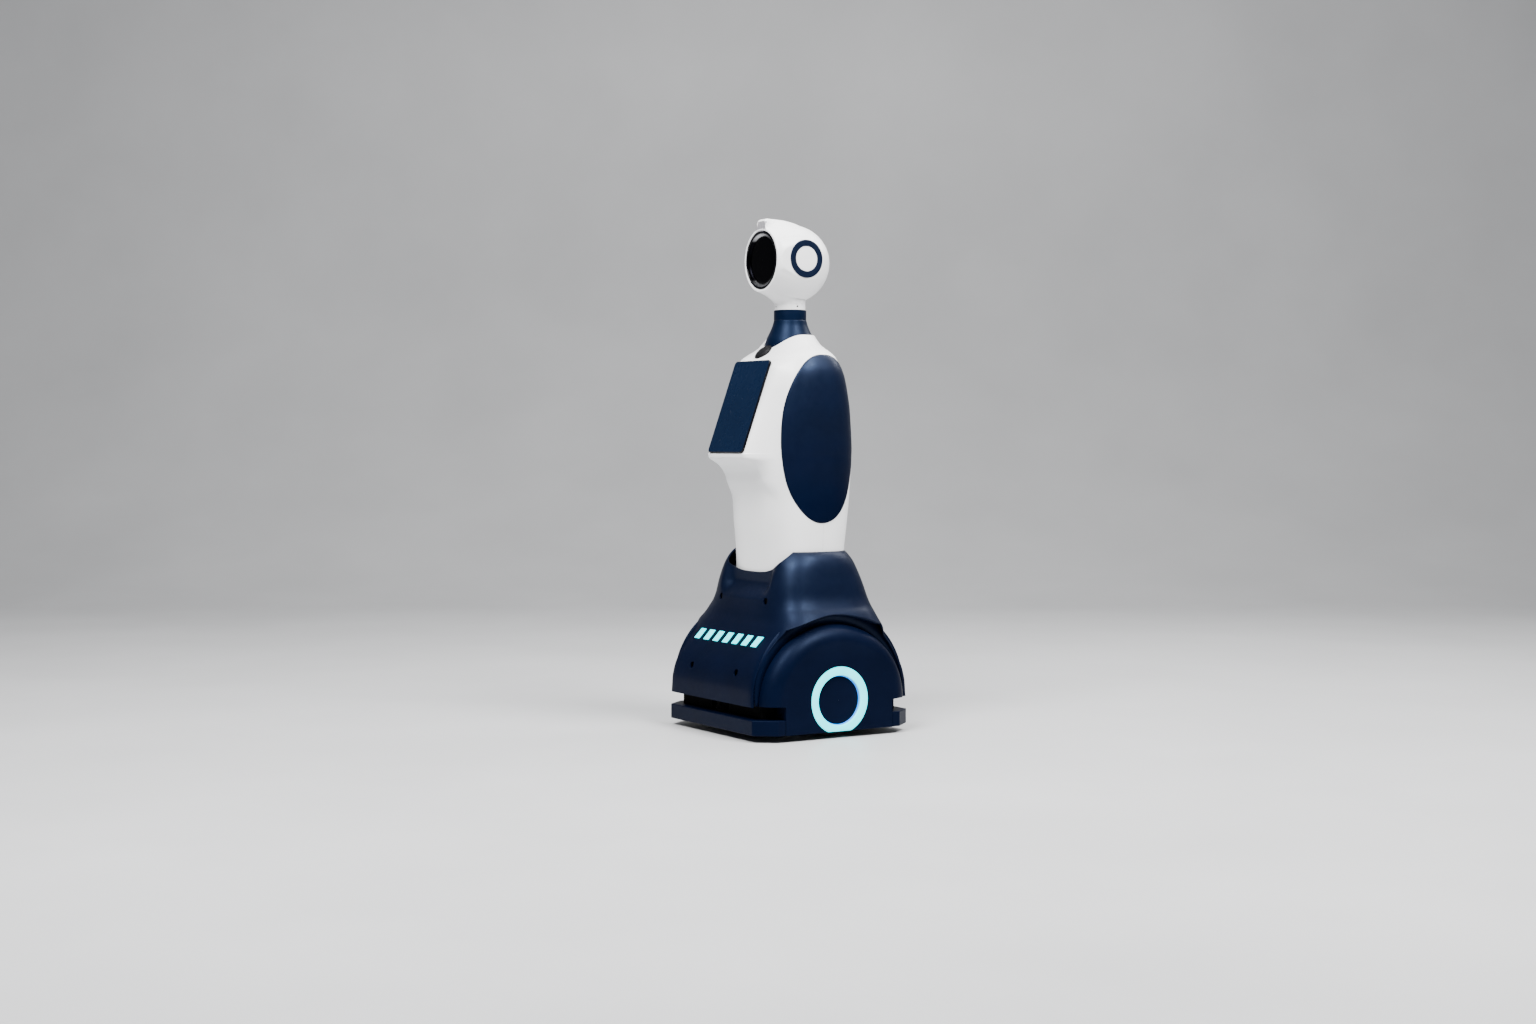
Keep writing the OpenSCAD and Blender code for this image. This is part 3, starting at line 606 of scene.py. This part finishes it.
apron_z = steps(HEM_Z, 281, 40)
rise_t = steps(0, 1, 64)
rows = [[skirt_point(a, mix(HEM_Z, skirt_start(a), (z - HEM_Z) / (CORNER_Z - HEM_Z))) for a in columns]
        for z in apron_z]
rows += [[skirt_point(a, mix(skirt_start(a), skirt_end(a), t)) for a in columns] for t in rise_t]
bm = bmesh.new()
n_col = len(columns)


def skirt_has(i, j):
    if i >= len(apron_z):
        return True
    return has_apron(columns[j]) and has_apron(columns[(j + 1) % n_col])


add_grid(bm, rows, closed=True, present=skirt_has)
# The lip over each wheel cover rolls under
for turn in (0, 180):
    arc = [a for a in columns
           if abs(side_turn(a)) <= 45 - HEM + 0.01 and (abs(a - turn) < 46 or abs(a - turn - 360) < 46)]
    roll = []
    for inset, drop in ((9.0, 5.5), (5.0, 5.0), (2.0, 3.2), (0.5, 1.4), (0.0, 0.0)):
        line = []
        for a in arc:
            p = skirt_point(a, skirt_start(a), inset)
            p.z -= drop * min(1, (45 - abs(side_turn(a))) / 8)
            line.append(p)
        roll.append(line)
    add_grid(bm, roll)
tidy(bm)
skirt = mesh_object("skirt_cover", bm)
thick(skirt, 4.0)
screw_spots = [(s * 112, 350) for s in (-1, 1)] + [(s * 113, 170) for s in (-1, 1)]
holes = [((x, 0, z), (0, 1, 0), SCREW_R, 600) for x, z in screw_spots]
holes.append(((0, 170, BUTTON_Z), (0, 1, 0), BUTTON_HOLE_R, 60))
bored(skirt, holes)
soften(skirt, 1.3, 3)
add(skirt, "root", "navy_cover", "skirt_shell")


def skirt_front_y(x, z):
    n = skirt_n(z)
    return -front_d(z) * max(0.0, 1 - (abs(x) / side_w(z)) ** n) ** (1 / n)


# Generic slanted light bars across the front
BAR_LOW, BAR_HIGH, BAR_W, BAR_LEAN, BAR_PITCH = 236, 262, 25.5, 12, 48
bm = bmesh.new()
for k in range(7):
    bar_rows = []
    for v in steps(0, 1, 8):
        z = mix(BAR_LOW, BAR_HIGH, v)
        across_bar = [-163 + k * BAR_PITCH + BAR_LEAN * v + BAR_W * u for u in steps(0, 1, 8)]
        bar_rows.append([Vector((x, skirt_front_y(x, z) - 0.2, z)) for x in across_bar])
    add_grid(bm, bar_rows)
bars = mesh_object("front_light_bars_glow", bm)
thick(bars, 2.2, offset=1.0)
soften(bars, 0.9, 3, 60)
add(bars, "root", "light", "front_light_bars")

# ---------------------------------------------------------------- tray under the skirt

FOOT_Z = 18  # the lowest edge of the tray and of the wheel covers
tray = [(252, -188), (252, -165.5), (150, -165.5), (150, 165.5), (252, 165.5), (252, 188), (209, 240),
        (-209, 240), (-252, 188), (-252, 165.5), (-150, 165.5), (-150, -165.5), (-252, -165.5), (-252, -188),
        (-209, -240), (209, -240)]
base_plate = slab("bumper_tray", tray, FOOT_Z, 57)
soften(base_plate, 2.2, 3, 25)
add(base_plate, "root", "navy_cover", "base_tray")

# Walls of painted shade close the slot above the tray, except in front of the scanners: near-black sheets
# where the slot lies in shade.
bm = bmesh.new()
for sx in (1, -1):
    for sy in (1, -1):
        line = [(44, 190), (44, 208), (190, 208), (201, 204), (205, 194), (205, 169), (190, 169)]
        add_grid(bm, [[Vector((sx * x, sy * y, z)) for x, y in line] for z in (57.2, 91.5)])
slot_wall = mesh_object("tray_slot_shade_walls", bm)
thick(slot_wall, 2.0, 0.0)
soften(slot_wall, 0.4, 1, 40)
add(slot_wall, "root", "charcoal_plastic", finish=SHADE)

# ---------------------------------------------------------------- wheel covers with their glowing rings

AXLE = 98.0
ARCH_W, ARCH_H, ROLL = 219.0, 194.0, 44.0  # half-length, height over the axle, rounding of the edge
LEG_Y, LEG_Z = 165, 90  # the cover's narrower foot, which fits the tray's notch
FACE_X = 252
HOLE_R = 88.2


half_turn = [math.radians(k * 2.5) for k in range(73)]


def arch_point(x, w, h, a):
    return Vector((x, w * math.cos(a), AXLE - 6 + (h + 6) * math.sin(a)))


def cover_line(x, w, h):
    leg = [(LEG_Y, z) for z in steps(FOOT_Z, LEG_Z, 8)]
    leg += [(mix(LEG_Y, w, k / 5), mix(LEG_Z, LEG_Z + 2, k / 5)) for k in range(1, 5)]
    arch = [arch_point(x, w, h, a) for a in half_turn]
    return [Vector((x, y, z)) for y, z in leg] + arch + [Vector((x, -y, z)) for y, z in leg[::-1]]


cover_rows = [cover_line(208, ARCH_W, ARCH_H)]
for t in steps(0, 1, 20):
    a = math.radians(90 * t)
    shrink = ROLL * (1 - math.cos(a))
    cover_rows.append(cover_line(mix(209, FACE_X, math.sin(a)), ARCH_W - shrink, ARCH_H - shrink))
low = math.asin((AXLE - FOOT_Z) / HOLE_R)
flat = cover_rows[-1]


def hole_angle(p):
    """Where the point of the flat face looks at the round hole; the legs fan down to its open ends."""
    if p.z < LEG_Z:
        a = mix(-low, math.atan2(LEG_Z - AXLE, LEG_Y), (p.z - FOOT_Z) / (LEG_Z - FOOT_Z))
    else:
        a = math.atan2(p.z - AXLE, abs(p.y))
    return a if p.y > 0 else math.pi - a


hole = [Vector((FACE_X, HOLE_R * math.cos(a), AXLE + HOLE_R * math.sin(a))) for a in map(hole_angle, flat)]
for t in (0.04, 0.15, 0.35, 0.6, 0.82, 0.95, 1.0):
    cover_rows.append([p.lerp(q, t) for p, q in zip(flat, hole)])
left_cover = grid("left_wheel_fairing", cover_rows)
thick(left_cover, 3.4)
soften(left_cover, 1.0, 2, 40)
right_cover = mirrored(left_cover, "right_wheel_fairing")
add(left_cover, "root", "navy_cover", "left_wheel_cover")
add(right_cover, "root", "navy_cover", "right_wheel_cover")


# A flange behind each cover closes the arch under the skirt's lip
seal_rows = []
for out in (0.0, 0.5, 1.0):
    grown = [(a, -2 + out * mix(12, 44, math.sin(a))) for a in half_turn]
    seal_rows.append([arch_point(206.5 - 1.5 * out, ARCH_W + grow, ARCH_H + grow, a) for a, grow in grown])
left_seal = grid("left_arch_seal", seal_rows)
thick(left_seal, 1.6, 0.0)
right_seal = mirrored(left_seal, "right_arch_seal")
add(left_seal, "root", "navy_cover")
add(right_seal, "root", "navy_cover")


def clipped_ring(name, profile, columns=144):
    """Rings about the wheel axle, cut off level with the bottom of the cover; profile is (radius, X)."""
    rows = []
    for r, x in profile:
        row = []
        for k in range(columns):
            a = 2 * math.pi * k / columns
            reach = r
            if math.sin(a) < 0:
                reach = min(r, (AXLE - FOOT_Z - 0.3) / -math.sin(a))
            row.append(Vector((x, reach * math.cos(a), AXLE + reach * math.sin(a))))
        rows.append(row)
    return grid(name, rows, closed=True)


ring_profile = [(87.4, 248.9), (87.4, 249.8), (87.0, 250.7), (86.0, 251.3), (79, 251.6), (72, 251.4),
                (66.2, 250.6), (65.2, 250.2), (64.6, 249.4), (64.4, 247.5)]
# The liner is the wall of the ring's recess; its deep blue glow is painted light from the ring.
liner_profile = [(64.4, 247.5), (64.2, 245.4), (63.6, 243.4), (62.6, 242.4), (60.6, 241.8)]
disc_profile = [(64.0, 240.5), (62.2, 241.5), (61.6, 243.2), (60.4, 244.3), (58.6, 244.8), (50, 245.0),
                (20, 245.1), (0.4, 245.1)]
# The backing behind each light ring is painted shade, near-black.
backing_profile = [(92.5, 248.1), (87.9, 248.1), (65.0, 247.6), (64.7, 246.0), (64.7, 240.2), (60.0, 239.8)]
for side, name in ((1, "left"), (-1, "right")):
    for part, profile, slot, finish, nodes in (
            ("light_ring_backing", backing_profile, "charcoal_plastic", SHADE, ()),
            ("light_ring_glow", ring_profile, "light", GLOW, (name + "_light_ring",)),
            ("light_ring_liner", liner_profile, "light", PAINTED_RING_LIGHT, ()),
            ("hub_disc_face", disc_profile, "navy_cover", NAVY, (name + "_hub_disc",))):
        add(on_side(side, clipped_ring(name + "_" + part, profile)), "root", slot, *nodes, finish=finish)

# ---------------------------------------------------------------- torso

# Outlines of the shell: height, half-width, front, rear, squareness, rise in front, rise behind
ring_table = [
    (418, 157, -104, 112, 3.2, 0, 52), (476, 158, -106, 116, 3.2, 0, 0), (548, 162, -113, 126, 3.1, 0, 0),
    (616, 165, -119, 135, 3, 0, 0), (655, 166, -127, 138, 3, 0, 0), (692, 168, -134, 141, 3, 0, 0),
    (712, 169, -136, 141, 3, 0, 0), (724, 169, -137, 141, 3, 0, 0), (737, 170, -137, 141, 3, 0, 0),
    (770, 171, -137, 139, 3, 0, 0), (810, 173, -135, 134.5, 3, 0, 0), (850, 174, -130, 130, 3, 0, 0),
    (900, 171.5, -124, 121, 3, 0, 0), (930, 168.5, -118, 115, 2.95, -3, -2),
    (950, 164.5, -114, 110, 2.85, -6, -4), (970, 156.5, -108, 105, 2.7, -9, -5),
    (988, 146, -103, 101, 2.5, -12, -6), (1002, 130, -96, 97, 2.2, -20, -7),
    (1014, 107, -87, 94, 1.95, -25, -8), (1022, 96, -79, 86, 1.9, -27, -8),
    (1033, 84, -70, 78, 1.95, -30, -7), (1045, 71, -62, 69, 2, -36, 0)]
# Along the shell from bottom to top, so that the shoulders stay evenly divided
run = [0.0]
for a, b in zip(ring_table, ring_table[1:]):
    run.append(run[-1] + math.hypot(b[0] - a[0], b[1] - a[1]))
torso_of = [Curve([(s, ring[k]) for s, ring in zip(run, ring_table)]) for k in range(7)]
by_height = [Curve([(ring[0], ring[k]) for ring in ring_table]) for k in range(7)]
TORSO_Y = 8.0
LEAN = math.radians(19.9)
TOP_Y, TOP_Z = -109.0, 975.0
WEDGE_Z, WEDGE_Y = 731, 193.5  # the lip at the foot of the tablet
wedge_low = Curve([(600, 100), (655, 130), (675, 138), (690, 148), (702, 160), (711, 174), (718, 187),
                   (723, 192), (WEDGE_Z, WEDGE_Y)])


def wedge_y(z):
    """How far the lectern behind the tablet stands in front of the middle."""
    if z <= WEDGE_Z:
        return wedge_low(z)
    face = -TOP_Y + (TOP_Z - z) * math.tan(LEAN) - 6.0
    return mix(WEDGE_Y, face, smooth(WEDGE_Z, WEDGE_Z + 3, z))


def torso_point(s, degrees):
    z0, half_w, front_y, rear_y, n, rise_front, rise_rear = (c(s) for c in torso_of)
    a = math.radians(degrees)
    r = squircle(a, n)
    front = math.sin(a) < 0
    x = half_w * r * math.cos(a)
    depth = TORSO_Y - front_y if front else rear_y - TORSO_Y
    y = TORSO_Y + depth * r * math.sin(a)
    z = z0 + (rise_front if front else rise_rear) * abs(math.sin(a)) ** 2.4
    if front:
        share = (1 - smooth(88, 132, abs(x))) * smooth(600, 650, z) * (1 - smooth(953, 979, z))
        y = mix(y, min(y, -wedge_y(z)), share)
    return Vector((x, y, z))


levels = []
for a, b, count in ((0, run[4], 20), (run[4], run[5], 16), (run[5], run[8], 56), (run[8], run[-1], 96)):
    levels += steps(a, b, count)[:-1]
levels.append(run[-1])
GAP = 0.16  # degrees left open at the seam on each side
for name, start in (("front", 180), ("back", 0)):
    count = 120
    spread = [start + GAP + (180 - 2 * GAP) * k / count for k in range(count + 1)]
    rows = [[torso_point(s, a) for a in spread] for s in levels]
    shell = grid("torso_%s_cover" % name, rows)
    thick(shell, 3.0)
    soften(shell, 0.8, 2, 45)
    add(shell, "root", "white_shell", "torso_%s_shell" % name)


def torso_x(y, z):
    n = by_height[4](z)
    depth = TORSO_Y - by_height[2](z) if y < TORSO_Y else by_height[3](z) - TORSO_Y
    return by_height[1](z) * max(0.001, 1 - (abs(y - TORSO_Y) / depth) ** n) ** (1 / n)


PANEL_Y, PANEL_Z, PANEL_HALF_W, PANEL_HALF_H, PANEL_SHIFT = 4, 771, 111.5, 220, 14
panel_rows = []
for share, lift in ([(1.0, -1.2), (1.0, 0.3), (0.9985, 1.0), (0.995, 1.5), (0.988, 1.8)]
                    + [(s, 1.9) for s in steps(0.97, 0.03, 30)] + [(0.0005, 1.9)]):
    line = []
    for k in range(120):
        a = 2 * math.pi * k / 120
        r = share * squircle(a, 2.35 if math.sin(a) > 0 else 2.1)
        rise = r * math.sin(a)
        y = PANEL_Y + PANEL_HALF_W * r * math.cos(a) + PANEL_SHIFT * max(0, rise) ** 2
        z = PANEL_Z + PANEL_HALF_H * rise
        line.append(Vector((torso_x(y, z) + lift, y, z)))
    panel_rows.append(line)
left_panel = grid("left_flank_panel", panel_rows, closed=True)
right_panel = mirrored(left_panel, "right_flank_panel")
add(left_panel, "root", "navy_panel", "left_side_panel")
add(right_panel, "root", "navy_panel", "right_side_panel")

# ---------------------------------------------------------------- tablet

MIDDLE_TO_TOP = 126.6  # from the middle of the tablet to its top edge
tablet_place = (Matrix.Translation(Vector((0, TOP_Y, TOP_Z)) * MM)
                @ Matrix.Rotation(math.pi / 2 - LEAN, 4, "X")
                @ Matrix.Translation(Vector((0, -MIDDLE_TO_TOP, 0)) * MM))


def round_rect(w, h, r, count=8):
    out = []
    x, y = w / 2 - r, h / 2 - r
    for cx, cy, start in ((x, y, 0), (-x, y, 90), (-x, -y, 180), (x, -y, 270)):
        for k in range(count + 1):
            a = math.radians(start + 90 * k / count)
            out.append((cx + r * math.cos(a), cy + r * math.sin(a)))
    return out


body = slab("tablet_body", round_rect(174, 256.4, 10), -6.0, 0.9, tablet_place)
soften(body, 1.3, 3, 40)
add(body, "root", "black_gloss", "tablet_frame")
screen = slab("tablet_screen", round_rect(171.6, 254, 9), 0.3, 1.35, tablet_place)
soften(screen, 0.5, 2, 40)
add(screen, "root", "tablet_glass", "tablet_glass")

# ---------------------------------------------------------------- chest sensor

tilt = math.radians(41)
sensor_w = Vector((0, -math.sin(tilt), math.cos(tilt)))
sensor_v = Vector((0, math.cos(tilt), math.sin(tilt)))
profile = rounded([(26.4, -3), (26.4, 2.6), (24.4, 3.6), (23.8, 2.8), (23, 2.8), (22.4, 4.8), (17, 7.2),
                   (9, 8.4), (0.3, 8.8)], [0.6, 0.8, 0.3, 0.3, 0.8, 3, 4])
sensor_place = (0, -76, 999.4)
sensor = lathe("chest_sensor_dome", profile, sensor_place, ((1, 0, 0), sensor_v, sensor_w))
add(sensor, "root", "charcoal_plastic", "chest_sensor")

# ---------------------------------------------------------------- neck

NECK_Y = 6.5
flare = Curve([(1004, 67.8), (1014, 67.6), (1024, 66.6), (1036, 63.2), (1046, 58.2), (1054, 54.3),
               (1062, 50.8), (1072, 46.9), (1085.9, 43.2)])
profile = [(flare(z), z) for z in steps(1004, 1085.9, 30)] + [(38, 1085.9)]
add(lathe("neck_flare_cover", profile, (0, NECK_Y + 1.4, 0), "Z"), "root", "blue_neck", "neck_flare")
profile = rounded([(38, 1086.1), (43.2, 1086.1), (43.2, 1111.4), (38, 1111.4)], [0.9, 0.9])
add(lathe("neck_band_cover", profile, (0, NECK_Y + 1.1, 0), "Z"), "root", "blue_neck", "neck_band")

# ---------------------------------------------------------------- head

profile = rounded([(38.6, 1140), (38.6, 1112.2), (41.9, 1112.2), (41.9, 1116), (41.8, 1126), (41.8, 1144)],
                  [0.6, 0.8, 0, 0])
collar = lathe("neck_collar", profile, (0, NECK_Y, 0), "Z", 120)
facing_out(collar, (0, NECK_Y, 1126))
screw_turns = [math.radians(a) for a in (-3, 87, 177, 267)]
bored(collar, [((40 * math.cos(a), NECK_Y + 40 * math.sin(a), 1121), (math.cos(a), math.sin(a), 0),
                2.6, 12) for a in screw_turns])
add(collar, "head", "white_shell", "neck_ring")

HEAD_Z, HEAD_R, FACE_Y, FACE_R = 1238.5, 107.0, -80.0, 84.0
SLIM, LOW_CROWN, LONG = 97 / 107.0, 100.3 / 107.0, 1.018
RIM_Z = 1241.0
EAR_FLAT = 87.4  # half-width of the head where the ears sit
reach = math.hypot(NECK_Y - FACE_Y, FACE_R)
touch = math.atan2(FACE_R, FACE_Y - NECK_Y) - math.acos(HEAD_R / reach)
touch_y, touch_r = NECK_Y + HEAD_R * math.cos(touch), HEAD_R * math.sin(touch)


def head_radius(y):
    """Radius of the head about the axis through the face, at a distance along it."""
    if y < touch_y:
        return mix(FACE_R, touch_r, (y - FACE_Y) / (touch_y - FACE_Y))
    behind = (y - NECK_Y) / (LONG if y > NECK_Y else 1.0)
    return math.sqrt(max(0.0, HEAD_R ** 2 - behind ** 2))


def slimness(y):
    return mix(1.0, SLIM, smooth(FACE_Y, 0, y))


def crown_share(y):
    """How much lower than round the top of the head is."""
    return mix(1.0, LOW_CROWN, smooth(FACE_Y, 10, y))


def middle_z(y):
    return mix(RIM_Z, HEAD_Z, smooth(FACE_Y, 0, y))


plateau_top = Curve([(-84, 1292), (-72, 1288), (-50, 1292), (-20, 1297), (2, 1298.5), (60, 1298.5)])
plateau_low = Curve([(-84, 1216), (-50, 1207), (-20, 1195), (2, 1189), (60, 1189)])


def head_point(y, degrees, r=None):
    """Angle 0 is at the left ear, and 90 at the top."""
    a = math.radians(degrees)
    r = head_radius(y) if r is None else r
    x = r * math.cos(a) * slimness(y)
    z = middle_z(y) + r * math.sin(a) * (crown_share(y) if a < math.pi else 1.0)
    if abs(x) > 20 and y > FACE_Y - 1:
        low, top = plateau_low(y), plateau_top(y)
        band = smooth(low - 7, low + 3, z) * (1 - smooth(top - 1.2, top + 1.2, z))
        x += math.copysign(1.7 * band * smooth(-79, -70, y) * (1 - smooth(26, 50, y)), x)
    if abs(x) > EAR_FLAT:
        x = math.copysign(EAR_FLAT + (abs(x) - EAR_FLAT) * 0.06, x)
    return Vector((x, y, z))


around = 180
back_y = [NECK_Y + HEAD_R * math.cos(t) * (LONG if math.cos(t) > 0 else 1.0) for t in steps(0.01, touch, 70)]
slope_y = steps(touch_y, FACE_Y, 24)[1:]
rows = [[head_point(y, 360 * k / around) for k in range(around)] for y in back_y + slope_y]
rim = [(84.1, -81.2), (83.7, -82.6), (82.6, -83.6), (80.8, -84.1), (79.0, -83.9), (77.9, -83.2), (77.4, -82),
       (77.3, -76), (77.3, -70)]
for r, y in rim:
    z = mix(RIM_Z + 1, RIM_Z, smooth(77.3, 84, r))
    rows.append([Vector((r * math.cos(a), y, z + r * math.sin(a)))
                 for a in (2 * math.pi * k / around for k in range(around))])
head = grid("head_cover", rows, closed=True)
facing_out(head, (0, NECK_Y, HEAD_Z))
thick(head, 2.6)
add(head, "head", "white_shell", "head_shell")

# Chin: the collar sweeps forward into the rim of the face
CHIN_R, CHIN_FLARE = 42.1, 38.0
CHIN_FOOT, CHIN_TOP, CHIN_RISE = 1128, 1143, 14
rows = []
for t in steps(0, 1, 24):
    row = []
    for k in range(121):
        a = math.radians(-205 + 230 * k / 120)
        ahead_share = max(0.0, (1 - math.sin(a)) / 2) ** 3
        side_share = max(0.0, -math.sin(a) + 0.42) / 1.42
        top_r = CHIN_R + CHIN_FLARE * ahead_share * side_share
        top_z = CHIN_TOP + CHIN_RISE * ahead_share * side_share
        r = mix(CHIN_R, top_r, t ** 1.6)
        x = r * math.cos(a) * mix(1, 0.86, ahead_share * t)
        row.append(Vector((x, NECK_Y + r * math.sin(a), mix(CHIN_FOOT, top_z, t))))
    rows.append(row)
chin = grid("chin_cover", rows)
facing_out(chin, (0, -10, 1150))
thick(chin, 1.5)
add(chin, "head", "white_shell")

# Canopy over the camera window
ridge = Curve([(-83, 1343.6), (-81.5, 1346.2), (-78.5, 1348.6), (-74, 1349.7), (-60, 1349.2), (-45, 1348.4),
               (-28, 1347.4), (-13, 1345.2), (0, 1342.8), (10, 1340.4), (18, 1337.6), (25, 1334), (32, 1330)])
WINDOW = 20.5  # half-width of the window's opening
HOOD_FADE_Y = 22  # the canopy sinks into the head behind this
HOOD_HALF = 56  # degrees from straight up to the canopy's edge


def hood_radius(theta, y):
    """Radius at an angle from straight up: upright walls in front that turn into a taut skin further back."""
    height = (ridge(y) - middle_z(y)) / crown_share(y)
    r_head = head_radius(max(y, FACE_Y))
    w = WINDOW / slimness(max(y, FACE_Y))
    corner = math.hypot(w, height)
    at = math.atan2(w, height)
    if corner <= r_head:
        return min(r_head, height / max(0.2, math.cos(theta)))
    tangent = at + math.acos(r_head / corner)
    theta = abs(theta)
    if theta <= at:
        return height / math.cos(theta)
    upright = max(r_head, w / math.sin(theta))
    taut = r_head / math.cos(tangent - theta) if theta <= tangent else r_head
    return mix(upright, taut, smooth(-82, -44, y))


def hood_smooth(theta, y):
    """The same, with the window's edges rounded over."""
    total, weight = 0.0, 0.0
    for k in range(-5, 6):
        w = math.exp(-(k / 2.6) ** 2)
        total += w * hood_radius(theta + math.radians(k * 0.9), y)
        weight += w
    return total / weight


rows = []
hood_y = [-83.2, -82.6, -81.8, -80.6] + steps(-79, 32, 56)
for y in hood_y:
    row = []
    for k in range(121):
        theta = math.radians(-HOOD_HALF + 2 * HOOD_HALF * k / 120)
        edge = min(1.0, (HOOD_HALF - abs(math.degrees(theta))) / 4)
        r = hood_smooth(theta, y) + mix(-2.6, 0.25, edge)
        if y > HOOD_FADE_Y:
            r -= (y - HOOD_FADE_Y) * 0.22
        row.append(Vector((r * math.sin(theta) * slimness(max(y, FACE_Y)), y,
                           middle_z(y) + r * math.cos(theta) * crown_share(y))))
    rows.append(row)
canopy = grid("camera_canopy", rows)
facing_out(canopy, (0, -20, HEAD_Z))
thick(canopy, 2.4)
soften(canopy, 0.7, 2, 45)
add(canopy, "head", "white_shell", "crown_cap")

# Camera window: a smoked block with upright ribs, a little wider at its foot
rows = []
for z, half, front, back in ((1317.5, 23.4, -84.2, -76), (1322, 22.4, -84.0, -76), (1328, 21.2, -83.6, -76),
                             (1336, 20.4, -83.2, -76), (1341.4, 20.1, -82.8, -76), (1343, 19.4, -82.0, -76.4),
                             (1343.4, 18, -81, -77)):
    loop = []
    for k in range(49):
        x = -half + 2 * half * k / 48
        loop.append(Vector((x, front + 1.0 * (0.5 - 0.5 * math.cos(2 * math.pi * k / 48 * 5)), z)))
    loop += [Vector((half, back, z)), Vector((-half, back, z))]
    rows.append(loop)
rows.append([Vector((0, -79, 1343.4))] * len(rows[0]))
window = grid("camera_window_block", rows, closed=True)
facing_out(window, (0, -79, 1330))
add(window, "head", "camera_glass", "camera_window")

# Face
FACE = (0, 0, FACE_Z)
profile = rounded([(77.2, 72), (77.0, 82.2), (75.4, 84.0), (71.6, 83.8), (70.6, 81.6), (70.6, 72)],
                  [1.6, 1.6, 1.4, 1])
add(lathe("face_bezel_ring", profile, FACE, "-Y", 128), "head", "black_gloss", "face_bezel")
profile = [(70.7, 74), (70.6, 82.2), (70.0, 82.6), (69.0, 82.2), (66, 80.2), (63.4, 78.2), (62.4, 76.8),
           (62.2, 74)]
silver = lathe("face_silver_ring", profile, FACE, "-Y", 128)
add(silver, "head", "bright_ring", "face_trim_ring", finish=FACE_RING)
profile = [(62.1, 74), (62.0, 76.2), (61.2, 76.9), (54, 77.2), (36, 77.7), (18, 77.9), (0.4, 78)]
add(lathe("face_screen", profile, FACE, "-Y", 128), "head", "face_glass", "face_display")

# Ears
EAR = (0, 2.5, 1243)
ring_profile = rounded([(49.8, 80), (49.8, 90.0), (33.3, 90.0), (33.3, 84)], [1.2, 0.7])
disc_profile = rounded([(33.0, 84), (33.0, 88.9), (10, 89.3), (0.4, 89.3)], [0.9, 0])
for side, name in ((1, "left"), (-1, "right")):
    ring = lathe(name + "_ear_band", ring_profile, EAR, "X", 120)
    disc = lathe(name + "_ear_plate", disc_profile, EAR, "X", 96)
    for made, slot, node in ((ring, "navy_panel", "ear_ring"), (disc, "white_shell", "ear_disc")):
        add(on_side(side, made), "head", slot, name + "_" + node)

# ---------------------------------------------------------------- floor and light

bm = bmesh.new()
bend = [math.radians(a) for a in range(6, 91, 6)]
sweep = [(-9, 0), (4, 0)] + [(4 + 3 * math.sin(a), 3 - 3 * math.cos(a)) for a in bend] + [(7, 9)]
rows = [[(ahead * d + across * w + up * z) / MM for w in steps(-14, 14, 8)] for d, z in sweep]
add_grid(bm, rows)
floor = mesh_object("floor", bm)
m, tree, shader, vector = base_material("floor")
cloud = link_noise(tree, vector, 1.3, 5)
mottled(tree, shader, cloud, (0.50, 0.502, 0.51), (0.55, 0.552, 0.56))
shader.inputs["Roughness"].default_value = 0.45
floor.data.materials.append(m)


def softbox(name, place, target, size, power, colour=(1, 1, 1)):
    light = bpy.data.lights.new(name, "AREA")
    light.shape = "RECTANGLE"
    light.size, light.size_y = size
    light.energy = power
    light.color = colour
    obj = bpy.data.objects.new(name, light)
    bpy.context.scene.collection.objects.link(obj)
    obj.location = place
    obj.rotation_euler = (Vector(target) - Vector(place)).to_track_quat("-Z", "Y").to_euler()
    return obj


def stage_point(right, forward, height):
    return across * right + ahead * forward + up * height


softbox("key", stage_point(-1.5, -2.6, 4.2), (0, 0, 0.8), (2.0, 2.0), 480)
softbox("fill", stage_point(2.2, -2.0, 4.4), (0, 0, 0.8), (1.8, 1.8), 430)
softbox("top", stage_point(0.2, 0.6, 4.4), (0, 0, 0.6), (2.6, 2.6), 150)
softbox("rim", stage_point(2.4, 1.8, 3.2), (0, 0, 0.8), (0.8, 1.6), 60)
world = bpy.data.worlds.new("studio")
world.use_nodes = True
world.node_tree.nodes["Background"].inputs["Color"].default_value = (0.72, 0.74, 0.78, 1)
world.node_tree.nodes["Background"].inputs["Strength"].default_value = 0.2
bpy.context.scene.world = world

# ---------------------------------------------------------------- final update

bpy.context.view_layer.update()
